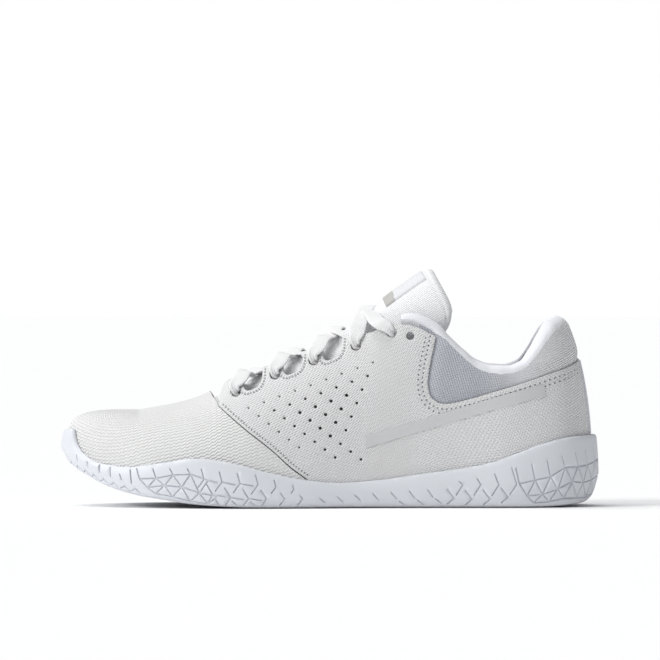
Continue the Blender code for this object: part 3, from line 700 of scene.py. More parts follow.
def panel_cloth():
    """The collar's mesh: blue-grey in front, and whiter round the heel."""
    material = cloth("collar_mesh", (0.6, 0.62, 0.68), mesh_relief, 0.5, 0.38)
    made = Finish.over(material)
    share = made.calc("MULTIPLY_ADD", made.u, 1 / 43, -74 / 43, clamp=True)
    base = made.shader.inputs["Base Color"].links[0].from_socket
    lighter = made.mix(0.7, base, (0.98, 0.985, 0.99, 1))
    made.put(made.shader.inputs["Base Color"], made.mix(share, base, lighter))
    return material


def make_finishes():
    found = {
        "vamp": cloth("vamp_knit", (0.79, 0.79, 0.787), vamp_relief, 0.42, 0.05),
        "quarter": cloth("quarter_textile", (0.77, 0.77, 0.775), quarter_relief, 0.5, 0.1, 0.7),
        "panel": panel_cloth(),
        "roll": cloth("collar_knit", (0.82, 0.835, 0.87), knit_relief, 0.1, 0.06, 0.9, 0.08),
        "tongue": cloth("tongue_knit", (0.87, 0.875, 0.89), rib_relief, 0.16, 0.06),
        "lining": cloth("lining_textile", (0.8, 0.81, 0.83), knit_relief, 0.08, 0.08, 0.9),
        # dark grey lining colour: painted shade, so the vent holes and slits into the quarter look
        # dark
        "shade": cloth("painted_shade_lining", (0.36, 0.37, 0.38), knit_relief, 0.08, 0.08, 0.9),
        "sock": cloth("sockliner_textile", (0.8, 0.81, 0.83), plain_relief, 0.08, 0.08, 0.92),
        "lace": cloth("lace_weave", (0.86, 0.86, 0.865), lace_relief, 0.16, 0.1),
        "board": cloth("board_fleece", (0.74, 0.74, 0.72), plain_relief, 0.05, 0.1, 0.92),
        "label": cloth("label_weave", (0.72, 0.73, 0.76), plain_relief, 0.08, 0.1, 0.6),
        "label_block": cloth("label_grey", (0.46, 0.455, 0.44), plain_relief, 0.05, 0.1, 0.6),
        "thread": cloth("thread", (0.72, 0.725, 0.74), lace_relief, 0.05, 0.08),
    }
    foam = Finish("sole_foam", 0.48, Specular_IOR_Level=0.45)
    foam.colour((0.7, 0.725, 0.77), (0.735, 0.755, 0.795), foam.noise(28, 3))
    foam.vary_roughness(0.42, 0.56, 300)
    foam.bump(foam.noise(1700, 4, 0.6), 0.03)
    found["foam"] = foam.material
    padding = Finish("padding_foam", 0.95)
    padding.colour((0.7, 0.7, 0.66), (0.82, 0.82, 0.79), padding.noise(1500, 2))
    padding.bump(padding.noise(1500, 3), 0.15)
    found["padding"] = padding.material
    film = Finish("stripe_film", 0.42)
    film.colour((0.6, 0.6, 0.615), (0.63, 0.63, 0.645), film.noise(120, 2))
    film.bump(film.staggered(film.sloped(0.97, 0.26), film.sloped(-0.26, 0.97), 1.6, 1.3), 0.06)
    film.vary_roughness(0.36, 0.5, 500)
    found["film"] = film.material
    strip = Finish("backstay_film", 0.5)
    strip.colour((0.66, 0.69, 0.74), (0.7, 0.725, 0.77), strip.noise(150, 2))
    strip.bump(strip.noise(1400, 2), 0.03)
    strip.vary_roughness(0.44, 0.58, 400)
    found["backstay"] = strip.material
    aglet = Finish("aglet_film", 0.22, Coat_Weight=0.4, Coat_Roughness=0.1)
    aglet.colour((0.82, 0.83, 0.85), (0.88, 0.89, 0.9), aglet.noise(400, 2))
    aglet.bump(aglet.noise(900, 2), 0.02)
    aglet.vary_roughness(0.16, 0.3, 500)
    found["aglet"] = aglet.material
    return found


FINISH = make_finishes()


# ---------------------------------------------------------------- camera, light and floor

VIEW_AIM = Vector((0.00025, 0, 0.0875))
VIEW_WIDTH = 0.33
VIEW_RISE = math.radians(0.7)


def make_camera():
    """A long lens from the lateral side, a little above the floor."""
    camera = bpy.data.cameras.new("camera")
    camera.lens = 400
    camera.sensor_width = 36
    distance = VIEW_WIDTH * camera.lens / camera.sensor_width
    obj = bpy.data.objects.new("camera", camera)
    obj.location = VIEW_AIM + distance * Vector((0, -math.cos(VIEW_RISE), math.sin(VIEW_RISE)))
    obj.rotation_euler = (math.pi / 2 - VIEW_RISE, 0, 0)
    camera.clip_end = 50
    bpy.context.scene.collection.objects.link(obj)
    bpy.context.scene.camera = obj


def make_sun(name, toward, power, spread, colour=(1, 1, 1)):
    """A far, soft light; toward is the direction that it comes from."""
    light = bpy.data.lights.new(name, "SUN")
    light.energy = power
    light.angle = math.radians(spread)
    light.color = colour
    obj = bpy.data.objects.new(name, light)
    obj.rotation_euler = Vector(toward).to_track_quat("Z", "Y").to_euler()
    bpy.context.scene.collection.objects.link(obj)


ROUND_LIGHT = 0.28


def make_surround():
    """White behind the shoe, and a softer white as the light from all round."""
    world = bpy.data.worlds.new("surround")
    world.use_nodes = True
    tree = world.node_tree
    behind = tree.nodes["Background"]
    behind.inputs["Color"].default_value = (1, 1, 1, 1)
    behind.inputs["Strength"].default_value = 1.0
    around = tree.nodes.new("ShaderNodeBackground")
    around.inputs["Color"].default_value = (0.96, 0.975, 1, 1)
    around.inputs["Strength"].default_value = ROUND_LIGHT
    seen = tree.nodes.new("ShaderNodeLightPath")
    both = tree.nodes.new("ShaderNodeMixShader")
    tree.links.new(seen.outputs["Is Camera Ray"], both.inputs[0])
    tree.links.new(around.outputs[0], both.inputs[1])
    tree.links.new(behind.outputs[0], both.inputs[2])
    tree.links.new(both.outputs[0], tree.nodes["World Output"].inputs["Surface"])
    bpy.context.scene.world = world


FLOOR_LEVEL = -0.3


def make_stage():
    """A plain white floor and soft light from the upper left, in front."""
    make_surround()
    bpy.context.scene.view_settings.view_transform = "Standard"
    paint = Finish("floor_paint", 0.7)
    paint.colour((0.945, 0.945, 0.945), (0.955, 0.955, 0.955), paint.noise(3))
    reach = 9000
    corners = [
        (x * reach, y * reach, FLOOR_LEVEL) for x, y in ((-1, -1), (1, -1), (1, 1), (-1, 1))
    ]
    floor = make_mesh("floor", corners, [(0, 1, 2, 3)], paint.material)
    make_sun("overhead", (-0.3, 0.1, 1.0), 1.95, 50)
    make_sun("key", (-0.9, -0.5, 0.65), 1.5, 20, (1, 0.995, 0.985))


# ---------------------------------------------------------------- the lace


def under_table(side):
    """Heights under a flap, on a grid of x and distance from the centre line."""
    x = np.arange(-62, 70, 1.0)
    away = np.arange(0, 40, 0.5)
    rises = np.linspace(0.97, 0.3, 30)
    found = below_skin(x[:, None], float(side), rises[None], TONGUE_CLEARANCE)
    table = [np.interp(away, abs(row[:, 1] - centre(at)), row[:, 2]) for at, row in zip(x, found)]
    return np.array(table)


UNDER = {side: under_table(side) for side in (LATERAL, MEDIAL)}


def under_flap(x, y):
    """The height that keeps the tongue clear of the flaps and of the lace under them."""
    away = abs(y - centre(x))
    i = np.clip(x + 62, 0, 130.99)
    j = np.clip(away * 2, 0, 78.99)
    a, b = np.floor(i).astype(int), np.floor(j).astype(int)
    p, q = i - a, j - b

    def read(table):
        near = table[a, b] * (1 - q) + table[a, b + 1] * q
        far = table[a + 1, b] * (1 - q) + table[a + 1, b + 1] * q
        return near * (1 - p) + far * p

    height = np.where(y < centre(x), read(UNDER[LATERAL]), read(UNDER[MEDIAL]))
    return height + np.clip((9.5 - away) / 6.5, 0, 1) * 5.5


TONGUE_WALL, TONGUE_TUCK = 26.0, 8.0


def tongue_point(t, across):
    """Points on the tongue's face: t along the ridge, across from -1 to 1 over its arch."""
    wall = np.maximum(abs(across) - 1, 0)
    angle = np.minimum(abs(across), 1) * math.pi / 2
    y = arch_width(t) * np.sin(angle) ** (2 / ARCH_POWER) - wall * TONGUE_TUCK
    drop = arch_height(t) * (1 - np.maximum(np.cos(angle), 0) ** (2 / ARCH_POWER))
    drop = drop + wall * TONGUE_WALL
    x = t + drop * arch_lean(t)
    y = np.copysign(y, across) + centre(t)
    free = ridge(t) - drop
    held = np.minimum(free, under_flap(x, y))
    share = np.clip((t - TONGUE_HINGE + 4) / 8, 0, 1)
    share = share * share * (3 - 2 * share)
    return np.stack([x, y, held + (free - held) * share], -1)


def over_tongue(t, y, height):
    """A point above the tongue's face, y to one side of its ridge."""
    share = min(abs(y) / arch_width(t), 0.99) ** ARCH_POWER
    drop = arch_height(t) * (1 - (1 - share) ** (1 / ARCH_POWER))
    face = min(ridge(t) - drop, under_flap(t, y + centre(t)))
    return np.array([t, y + centre(t), face + height])


def strand(k, side, upper):
    """Route from eyelet k on one side, over the tongue, to the next eyelet on the other."""
    (s0, z0), (s1, z1) = EYELETS[k], EYELETS[k + 1]
    r0, r1 = rise_at(s0, side, z0), rise_at(s1, -side, z1)
    step = s1 - s0
    last = k + 2 == LACED
    lift = 3.5 if upper else 1.2
    flanks = (3.6, 4.0) if last and upper else (1.6 + lift / 3, 1.4 + lift / 5)
    shares = (0.08, 0.14, 0.22, 0.3, 0.42) if last else (0.14, 0.25, 0.4, 0.53, 0.65)
    at = [s0 + share * step for share in shares]
    route = [
        below_skin(at[0], side, r0 + 0.08, OVER_FLAP - 0.1),
        below_skin(at[1], side, r0 + 0.14, OVER_FLAP - 0.2),
        over_tongue(at[2], side * 6, flanks[0]),
        over_tongue(at[3], 0, lift),
        over_tongue(at[4], -side * 6, flanks[1]),
    ]
    if last:
        return route + [
            below_skin(s0 + 0.66 * step, -side, r1 + 0.14, OVER_FLAP - 0.5),
            below_skin(s0 + 0.88 * step, -side, r1 + 0.05, OVER_FLAP - 0.1),
            below_skin(s1, -side, r1, -0.4),
            below_skin(s1, -side, r1, 2.4),
            below_skin(s1, -side, r1, UNDER_FLAP + 0.3),
        ]
    return route + [
        below_skin(s0 + 0.78 * step, -side, r1 + 0.17, UNDER_FLAP - 0.6),
        below_skin(s0 + 0.88 * step, -side, r1 + 0.09, UNDER_FLAP + 0.2),
        *through_eyelet(k + 1, -side),
    ]


def through_eyelet(k, side):
    """Route up through an eyelet, from under the flap to over it."""
    s, z = EYELETS[k]
    rise = rise_at(s, side, z)
    return [
        below_skin(s, side, rise + 0.015, UNDER_FLAP + 0.3),
        below_skin(s, side, rise, 3.2),
        below_skin(s, side, rise, -0.3),
        below_skin(s, side, rise + 0.03, OVER_FLAP - 0.1),
    ]


def half_lacing(start, upper_first):
    """Half of the lace, from the middle of the bar over the throat to its last eyelet."""
    s, z = EYELETS[0]
    rise = rise_at(s, start, z)
    route = [
        over_tongue(s, 0, 1.6),
        over_tongue(s, start * 6, 1.7),
        below_skin(s, start, rise + 0.16, UNDER_FLAP + 0.2),
        below_skin(s, start, rise + 0.08, UNDER_FLAP + 0.2),
    ]
    route += through_eyelet(0, start)
    side = start
    for k in range(LACED - 1):
        route += strand(k, side, upper_first == (k % 2 == 0))
        side = -side
    return route


def tail_start(side):
    """Where a free end goes on from the lace's last eyelet."""
    s, z = EYELETS[LACED - 1]
    rise = rise_at(s, side, z)
    return [below_skin(s, side, rise, UNDER_FLAP + depth) for depth in (0.8, 2.6)]


LACE_WIDTH, LACE_THICKNESS = 7.0, 1.4
SPREAD_WIDTH = 8.2
RIBBON_SIDES = 32
PLEATS = 3.5


def up_from_foot(p):
    """Direction from the middle of the foot to each point."""
    x = p[:, 0]
    low = np.stack([x, centre(x), np.minimum(ridge(x) - 32, p[:, 2] - 4)], 1)
    away = p - low
    return away / np.linalg.norm(away, axis=1, keepdims=True)


def widths_along(path, pinches, pinched):
    """Width, thickness and fold of a ribbon, which gathers where it goes through an eyelet."""
    width = np.full(len(path), SPREAD_WIDTH)
    for at in pinches:
        near = np.exp(-(np.linalg.norm(path - at, axis=1) / 4.4) ** 2)
        width = np.minimum(width, SPREAD_WIDTH - (SPREAD_WIDTH - pinched) * near)
    squeeze = (SPREAD_WIDTH - width) / (SPREAD_WIDTH - pinched)
    return width, LACE_THICKNESS * (1 + 0.75 * squeeze), 1.1 * squeeze


def ribbon(name, path, up, width, thickness, fold, material):
    """A flat woven band along a path, turned so that its face looks along up."""
    along = np.gradient(path, axis=0)
    along /= np.linalg.norm(along, axis=1, keepdims=True)
    across = np.cross(along, up)
    for k in range(1, len(across)):
        if across[k] @ across[k - 1] < 0:
            across[k:] *= -1
    kernel = np.exp(-((np.arange(-9, 10) / 5.0) ** 2))
    padded = np.pad(across, ((9, 9), (0, 0)), "edge")
    across = np.stack([np.convolve(padded[:, k], kernel, "valid") for k in range(3)], 1)
    across -= along * (across * along).sum(1, keepdims=True)
    across /= np.linalg.norm(across, axis=1, keepdims=True)
    face = np.cross(across, along)
    turn = np.arange(RIBBON_SIDES) * math.tau / RIBBON_SIDES
    c = np.sign(np.cos(turn)) * abs(np.cos(turn)) ** 0.8
    t = np.sign(np.sin(turn)) * abs(np.sin(turn)) ** 0.55
    flat = c[None] * (width / 2)[:, None]
    pleat = 0.22 * np.cos(c * PLEATS * math.pi)[None] * fold[:, None]
    thick = t[None] * (thickness / 2)[:, None] + (c[None] ** 2 - 0.4) * fold[:, None] + pleat
    points = path[:, None] + across[:, None] * flat[..., None] + face[:, None] * thick[..., None]
    count = len(path)
    weave = np.stack(
        [np.broadcast_to(lengths(path)[:, None], flat.shape), flat, thick], -1
    )
    index = np.arange(count * RIBBON_SIDES).reshape(count, RIBBON_SIDES)
    after = np.roll(index, -1, 1)
    faces = np.stack([index[:-1], after[:-1], after[1:], index[1:]], -1).reshape(-1, 4).tolist()
    faces += [index[0, ::-1].tolist(), index[-1].tolist()]
    return make_mesh(name, points.reshape(-1, 3), faces, material, weave.reshape(-1, 3), 60)


def make_lace_ends():
    """The two free ends of the lace, tucked into the toe, and their aglets."""
    for word, side in SIDES.items():
        route = [*tail_start(side), *((x, side * y + centre(x), z) for x, y, z in TAIL_ROUTE)]
        path = open_spline(route, 1.5)
        size = np.full(len(path), LACE_WIDTH), np.full(len(path), LACE_THICKNESS)
        width = size[0] - 3.2 * np.exp(-((lengths(path) / 5) ** 2))
        width -= 3.6 * np.exp(-(((lengths(path)[-1] - lengths(path)) / 4) ** 2))
        up = np.where(
            (path[:, 2] < 30)[:, None], (0.0, 0.0, 1.0), (0.3, side * 1.0, 0.2)
        )
        end = ribbon(f"free_lace_{word}", path, up, width, size[1], size[1] * 0, FINISH["lace"])
        dressed(end, "shoe", "lace", f"lace_end_{word}")
        aglet = make_aglet(word, path[-1], path[-1] - path[-2])


def make_aglet(word, start, ahead):
    """A rolled film tube with a lapped seam, a crimped mouth and a rounded tip."""
    ahead = ahead / np.linalg.norm(ahead)
    side = np.cross(ahead, (0, 0, 1))
    side /= np.linalg.norm(side)
    up = np.cross(side, ahead)
    profile = [
        (0.3, 0.0), (0.3, 1.25), (0.6, 1.5), (1.2, 1.6), (5.5, 1.6), (5.9, 1.5), (6.3, 1.6),
        (11.5, 1.6), (11.9, 1.5), (12.3, 1.6), (AGLET_LENGTH - 1.4, 1.55),
        (AGLET_LENGTH - 0.5, 1.3), (AGLET_LENGTH, 0.7), (AGLET_LENGTH, 0.0),
    ]
    sides = 24
    turn = np.arange(sides) * math.tau / sides
    lap = 1 + 0.05 * (np.arange(sides) < 3)
    rings = [
        start + ahead * x
        + r * lap[:, None] * (side * np.cos(turn)[:, None] + up * np.sin(turn)[:, None])
        for x, r in profile
    ]
    index = np.arange(len(rings) * sides).reshape(-1, sides)
    after = np.roll(index, -1, 1)
    faces = np.stack([index[:-1], after[:-1], after[1:], index[1:]], -1).reshape(-1, 4)
    points = np.concatenate(rings)
    piece = make_mesh(f"lace_tip_{word}", points, faces.tolist(), FINISH["aglet"], points)
    return dressed(piece, "shoe", "aglet_plastic", f"aglet_{word}")


def make_lacing():
    """The laced run: one ribbon from the last lateral eyelet to the last medial one."""
    one = half_lacing(LATERAL, True)
    other = half_lacing(MEDIAL, False)
    path = open_spline(one[:0:-1] + other, 0.8)
    pinches = [
        on_side(at, side, 0.5) for at in EYELETS[:LACED] for side in (LATERAL, MEDIAL)
    ]
    width, thickness, fold = widths_along(path, pinches, 4.0)
    lace = ribbon("lace_run", path, up_from_foot(path), width, thickness, fold, FINISH["lace"])
    dressed(lace, "shoe", "lace", "shoelace")


# ---------------------------------------------------------------- the sole

GROOVE_HALF = 0.42
GROOVE_FLOOR = 0.2
GROOVE_DEPTH = 0.9
CORNER_ROUND = 3.3


def loop_table(step=0.5):
    """Stations round the sole, with the distance along its outline."""
    s, side = there_and_back(np.arange(TOE_TIP, HEEL_TIP + 0.01, step))
    return s, lengths(plan_point(s, side, 0.0))


LOOP_S, LOOP_AT = loop_table()
LOOP_HALF = LOOP_AT[len(LOOP_AT) // 2]


def station_at(w):
    """Station and side at a distance round the sole from the toe tip, lateral side first."""
    return np.interp(w, LOOP_AT, LOOP_S), np.where(w <= LOOP_HALF, -1.0, 1.0)


def wall_profile(w):
    """Cross-sections of the wall, from under the sole to the inside of its lip."""
    s, side = station_at(w)
    x = plan_point(s, side, 0.0)[:, 0]
    low, bulge, top = ground(x), np.maximum(wall_bulge(x), ground(x) + 2), wall_top(x)

    def under(inset):
        return ground(plan_point(s, side, inset)[:, 0])

    knots = [
        (6.0, under(6.0)), (4.5, under(4.5)), (2.6, under(2.6) + 0.5), (1.3, under(1.3) + 1.7),
        (0.25, low + (bulge - low) * 0.62), (0.0, bulge), (0.35, bulge + (top - bulge) * 0.5),
        (1.05, top - 1.3), (1.5, top - 0.35), (2.2, top), (3.0, top - 0.45), (3.3, top - 1.2),
    ]
    insets = np.stack([np.full(len(w), k[0]) for k in knots], 1)
    heights = np.stack([k[1] for k in knots], 1)
    return s, side, insets, heights


def fine_profile(values, per_span=6):
    """Catmull-Rom through each row of knots."""
    before = 2 * values[:, :1] - values[:, 1:2]
    beyond = 2 * values[:, -1:] - values[:, -2:-1]
    p = np.concatenate([before, values, beyond], 1)
    t = np.arange(per_span) / per_span
    a, b, c, d = (p[:, k : k + values.shape[1] - 1, None] for k in range(4))
    found = b + 0.5 * t * (c - a + t * (2 * a - 5 * b + 4 * c - d) + t * t * (3 * (b - c) + d - a))
    return np.concatenate([found.reshape(len(values), -1), values[:, -1:]], 1)


def wall_height(w):
    """Length of the wall's cross-section."""
    _, _, insets, heights = wall_profile(w)
    a, b = fine_profile(insets), fine_profile(heights)
    return np.hypot(np.diff(a, axis=1), np.diff(b, axis=1)).sum(1)


def wall_point(w, h, sunk):
    """Points on the wall, h along its cross-section, sunk below its surface."""
    s, side, insets, heights = wall_profile(w)
    a, b = fine_profile(insets), fine_profile(heights)
    step = np.hypot(np.diff(a, axis=1), np.diff(b, axis=1))
    along = np.concatenate([np.zeros((len(w), 1)), np.cumsum(step, 1)], 1)
    h = np.clip(h, 0, along[:, -1])
    k = np.clip((along <= h[:, None]).sum(1) - 1, 0, step.shape[1] - 1)
    rows = np.arange(len(w))
    share = (h - along[rows, k]) / np.maximum(step[rows, k], 1e-9)
    inset = a[rows, k] + (a[rows, k + 1] - a[rows, k]) * share
    z = b[rows, k] + (b[rows, k + 1] - b[rows, k]) * share
    across = (a[rows, k + 1] - a[rows, k]) / np.maximum(step[rows, k], 1e-9)
    rise = (b[rows, k + 1] - b[rows, k]) / np.maximum(step[rows, k], 1e-9)
    inset = inset + rise * sunk
    z = z - across * sunk
    xy = plan_point(s, side, inset)
    return np.concatenate([xy, z[:, None]], 1)


# Rows of sipe joints on the wall: (distance from the toe tip, height above the ground).
UPPER_ROW = smooth([(62, 9), (73, 11.5), (86, 15.7), (93.5, 13.6), (102, 12.9), (120, 12.2),
                    (150, 9), (200, 9), (225, 11.9), (242, 11.6), (251.6, 12.2), (260, 14.1),
                    (268, 15.6), (274, 18.6), (278, 21), (284, 19.5), (310, 19)])
MIDDLE_ROW = smooth([(62, 5), (66, 5.5), (80.6, 8.9), (88.7, 7.1), (98, 5.9), (107, 5.1),
                     (150, 5), (220, 5.5), (238, 4.7), (248, 5.8), (258, 6.2), (266, 7.4),
                     (273.5, 9.8), (280, 12.5), (286, 11), (310, 11)])
LOWER_ROW = smooth([(61, 2.1), (74.5, 3.2), (83, 2.3), (92, 1.4), (102, 0.8), (220, 0.8),
                    (262, 2.7), (271, 3.4), (279, 5), (287, 3), (310, 3)])
TICK_ROW = smooth([(62, 14), (79.5, 16.8), (92, 18.3), (100, 17.9), (110, 15.7), (150, 11),
                   (224, 13.2), (232, 14.6), (239, 16.4), (246.6, 18.6), (254, 21.3),
                   (261, 22.3), (268, 24), (277, 25.7), (284, 26.5), (310, 26.5)])
SIPE_PITCH = 8.9
HEEL_PITCH = 8.0
NET_TOE, FORKS, SLANTS, CHEVRONS, NET_HEEL = 61, 93, 150, 215, 251
TOE_TICKS = [(20, 2.6), (28, 2.6), (36, 4.2), (43, 4.6), (49.5, 2.4), (55.5, 6.2)]


def sipe_lines():
    """Sipes of one side as pairs of (distance from the toe tip, height above the ground)."""
    lines = toe_sipes()
    for w in np.arange(NET_TOE, FORKS - 2, SIPE_PITCH):
        lines += net_sipes(w, SIPE_PITCH)
    for w in np.arange(FORKS + 1.5, SLANTS - 4, SIPE_PITCH):
        lines += forked_sipes(w)
    for w in np.arange(SLANTS + 2, CHEVRONS - 2, 9.0):
        lines += slanted_sipes(w)
    for w in np.arange(CHEVRONS + 8.5, NET_HEEL, SIPE_PITCH):
        lines += chevron_sipes(w)
    for w in np.arange(NET_HEEL + 0.5, LOOP_HALF - HEEL_PITCH / 2, HEEL_PITCH):
        lines += net_sipes(w, HEEL_PITCH)
    return lines


def toe_sipes():
    """Upright ticks over a scalloped edge, round the toe."""
    lines = [((w, 6.5 + long), (w + 0.9, 6.5 - long * 0.1)) for w, long in TOE_TICKS]
    for w in np.arange(10, NET_TOE - 4, 6.5):
        lines += [((w, 1.0), (w + 3.2, 3.6)), ((w + 3.2, 3.6), (w + 6.5, 1.0))]
    return lines


def net_sipes(w, pitch):
    """One cell of the net of triangles."""
    u0, u1 = ((v, UPPER_ROW(v)) for v in (w, w + pitch))
    m0, m1 = ((v, MIDDLE_ROW(v)) for v in (w + pitch * 0.5, w + pitch * 1.5))
    l0, l1 = ((v, LOWER_ROW(v)) for v in (w + pitch * 0.98, w + pitch * 1.98))
    tick = (w - 1.6, TICK_ROW(w - 1.6))
    return [
        (u0, u1), (u0, m0), (u1, m0), (m0, l0), (m0, m1), (m1, l0), (u0, tick), (l0, l1),
    ]


def forked_sipes(w):
    """Two three-armed joints that fade towards the middle of the sole."""
    fade = min(1.0, (SLANTS - w) / 30)
    up, mid = UPPER_ROW(w), MIDDLE_ROW(w)
    low = w + 4.3
    arms = [(-1.3, 4.8), (-3.2, -4.6)]
    if w < SLANTS - 34:
        arms.append((6.4, -1.1))
    lines = [((w, up), (w + x * fade, up + y * fade)) for x, y in arms]
    lines += [((low, mid), (low - 2.9 * fade, mid + 4.6 * fade)), ((low, mid), (low - 2.4, 1.6))]
    if w < SLANTS - 34:
        lines.append(((low, mid), (low + 6.2, mid - 0.8)))
        lines.append(((low + 0.9, mid - 1.9), (low + 3.4, 0.9)))
    return lines


def slanted_sipes(w):
    """Two short ticks that fall towards the heel."""
    share = (w - SLANTS) / (CHEVRONS - SLANTS)
    top = 5.2 + 4.6 * share
    lines = [((w, top), (w + 2.6, top - 2.2 - 1.6 * share))]
    if share > 0.45:
        lines.append(((w + 3.9, top - 4.4), (w + 7.0, top - 7.0)))
    return lines


def chevron_sipes(w):
    """A tall and a low angle, both pointing to the heel."""
    up, mid, tick = UPPER_ROW(w), MIDDLE_ROW(w) - 0.4, TICK_ROW(w)
    low = w - 4.4
    return [
        ((w - 1.6 - 0.1 * (tick - up), tick), (w, up)),
        ((w, up), (w - 3.4, up - 5.2)),
        ((low - 3.4, mid + 4.6), (low, mid)),
        ((low, mid), (low - 3.3, mid - 2.9)),
    ]


def groove_lines(a, b):
    """Two edges, two floor lines and rounded ends for one sipe."""
    a, b = np.array(a), np.array(b)
    along = (b - a) / np.linalg.norm(b - a)
    across = np.array([-along[1], along[0]])
    found = []
    for half in (GROOVE_HALF, GROOVE_FLOOR):
        reach = along * half
        found.append(
            [
                a + across * half, b + across * half, b + reach * 0.7 + across * half * 0.6,
                b + reach, b + reach * 0.7 - across * half * 0.6, b - across * half,
                a - across * half, a - reach * 0.7 - across * half * 0.6, a - reach,
                a - reach * 0.7 + across * half * 0.6,
            ]
        )
    return found


def segment_distance(points, segments):
    """Distance from each point to the nearest of the segments."""
    best = np.full(len(points), 99.0)
    for a, b in segments:
        a, b = np.array(a), np.array(b)
        d = b - a
        near = (abs(points[:, 0] - (a[0] + b[0]) / 2) < abs(d[0]) / 2 + 2)
        if not near.any():
            continue
        p = points[near]
        share = np.clip((p - a) @ d / (d @ d), 0, 1)
        gap = np.linalg.norm(p - a - share[:, None] * d, axis=1)
        best[near] = np.minimum(best[near], gap)
    return best


def groove_depth(distance):
    share = np.clip((GROOVE_HALF - distance) / (GROOVE_HALF - GROOVE_FLOOR), 0, 1)
    return GROOVE_DEPTH * share


def tread_lines():
    """Sipes under the sole: a net of triangles, as pairs of (x, y)."""
    step = 11.0
    lines = []
    for i in range(-13, 13):
        for j in range(-5, 6):
            a = np.array([i * step + (j % 2) * step / 2, j * step * 0.87])
            ends = [a + (step, 0), a + (step / 2, step * 0.87), a + (-step / 2, step * 0.87)]
            lines += [(a, b) for b in ends]
    return lines


def make_sole():
    """The foam cup: a wall with its sipes, the tread below and the recess inside it."""
    total = LOOP_AT[-1]
    w = np.linspace(0, total, 460)
    top = wall_height(w)
    low_edge = np.stack([w, np.zeros(len(w))], 1)
    top_edge = np.stack([w, top], 1)[::-1]
    ends = np.linspace(0, 1, 24)[1:-1]
    right = np.stack([np.full(len(ends), total), ends * top[-1]], 1)
    left = np.stack([np.zeros(len(ends)), ends[::-1] * top[0]], 1)
    outline = np.concatenate([low_edge, right, top_edge, left])
    pattern = Pattern(outline)
    lip = np.stack([w, top - 2.2], 1)[1:-1]
    pattern.line(lip)
    pattern.line(lip + (0, 0.7))
    pattern.line(lip + (0, 1.4))
    sipes = [tuple((p[0], max(p[1], 0.6) + CORNER_ROUND) for p in pair) for pair in sipe_lines()]
    sipes += [tuple((total - p[0], p[1]) for p in pair) for pair in sipes]
    for pair in sipes:
        for loop in groove_lines(*pair):
            pattern.closed_line(loop)
    points, faces = pattern.triangles(1.7)
    sunk = groove_depth(segment_distance(points, sipes))
    sunk *= np.clip(np.minimum(points[:, 0], total - points[:, 0]) / 3, 0, 1)
    wall = wall_point(points[:, 0], points[:, 1], sunk)
    parts = [(wall, faces.tolist())]
    parts.append(make_tread(wall_point(w, np.zeros(len(w)), 0.0)))
    parts.append(make_recess(wall_point(w, top, 0.0), w))
    base, all_points, all_faces = 0, [], []
    for some, cells in parts:
        all_points.append(some)
        all_faces += [[v + base for v in cell] for cell in cells]
        base += len(some)
    all_points = np.concatenate(all_points)
    sole = make_mesh("sole", all_points, all_faces, FINISH["foam"], all_points, 50)
    dressed(sole, "shoe", "sole_foam", "sole_unit")


def make_tread(rim):
    """The underside, with its net of sipes, inside the lower edge of the wall."""
    loop = rim[:-1, :2]
    pattern = Pattern(loop)
    held = []
    for a, b in tread_lines():
        ends = np.array([a, b])
        deep = inside(ends, loop)
        if deep.all() and distance_to(ends, closed(loop), 2.0).min() > 2.5:
            held.append((a, b))
            for ring in groove_lines(a, b):
                pattern.closed_line(ring)
    points, faces = pattern.triangles(4.0)
    sunk = groove_depth(segment_distance(points, held))
    z = ground(points[:, 0]) + sunk
    edge = distance_to(points, closed(loop), 1.0) < 0.01
    near = KDTree(len(loop))
    for k, p in enumerate(loop):
        near.insert((*p, 0), k)
    near.balance()
    for k in np.nonzero(edge)[0]:
        _, which, gap = near.find((*points[k], 0))
        if gap < 0.01:
            z[k] = rim[which, 2]
    return np.column_stack([points, z]), faces[:, ::-1].tolist()


def make_recess(lip, w):
    """The inside of the cup: down from the lip, and across the board's seat."""
    s, side = station_at(w)
    rings = [lip]
    for inset, share in ((3.3, 0.5), (3.4, 0.06), (4.2, 0.0), (8.6, 0.0), (24.0, 0.0)):
        xy = plan_point(s, side, inset)
        z = board(xy[:, 0]) + share * (lip[:, 2] - board(xy[:, 0]))
        rings.append(np.column_stack([xy, z]))
    count = len(w)
    faces = []
    for j in range(len(rings) - 1):
        for k in range(count - 1):
            a = j * count + k
            faces.append((a, a + 1, a + 1 + count, a + count))
    last = (len(rings) - 1) * count
    for k in range(count // 2):
        cell = [last + k, last + k + 1, last + count - 2 - k, last + count - 1 - k]
        faces.append(list(dict.fromkeys(cell)))
    return np.concatenate(rings), [f for f in faces if len(f) > 2]


# ---------------------------------------------------------------- the upper


def run(start, stop, step):
    return np.linspace(start, stop, max(2, round(abs(stop - start) / step) + 1))


def toe_stations():
    return np.concatenate([
        run(TOE_TIP, -61, 1.1), run(-60.5, -55.3, 0.4)[:-1], run(-55.3, -11.2, 1.1)
    ])


def toe_tops(s, side, trim):
    """Where a toe piece ends: at the throat, and down along the toe seam."""
    share = throat(s) / (reach_at(s, side) - FEATHER)
    open_throat = 1 - np.arcsin(np.clip(share, 0, 1) ** (fullness(s) / 2)) / (math.pi / 2)
    seam = rise_at(s, side, toe_seam(s) - trim)
    return np.where(s <= THROAT[0][0], 1.0, np.where(s < THROAT[-1][0], open_throat, seam))


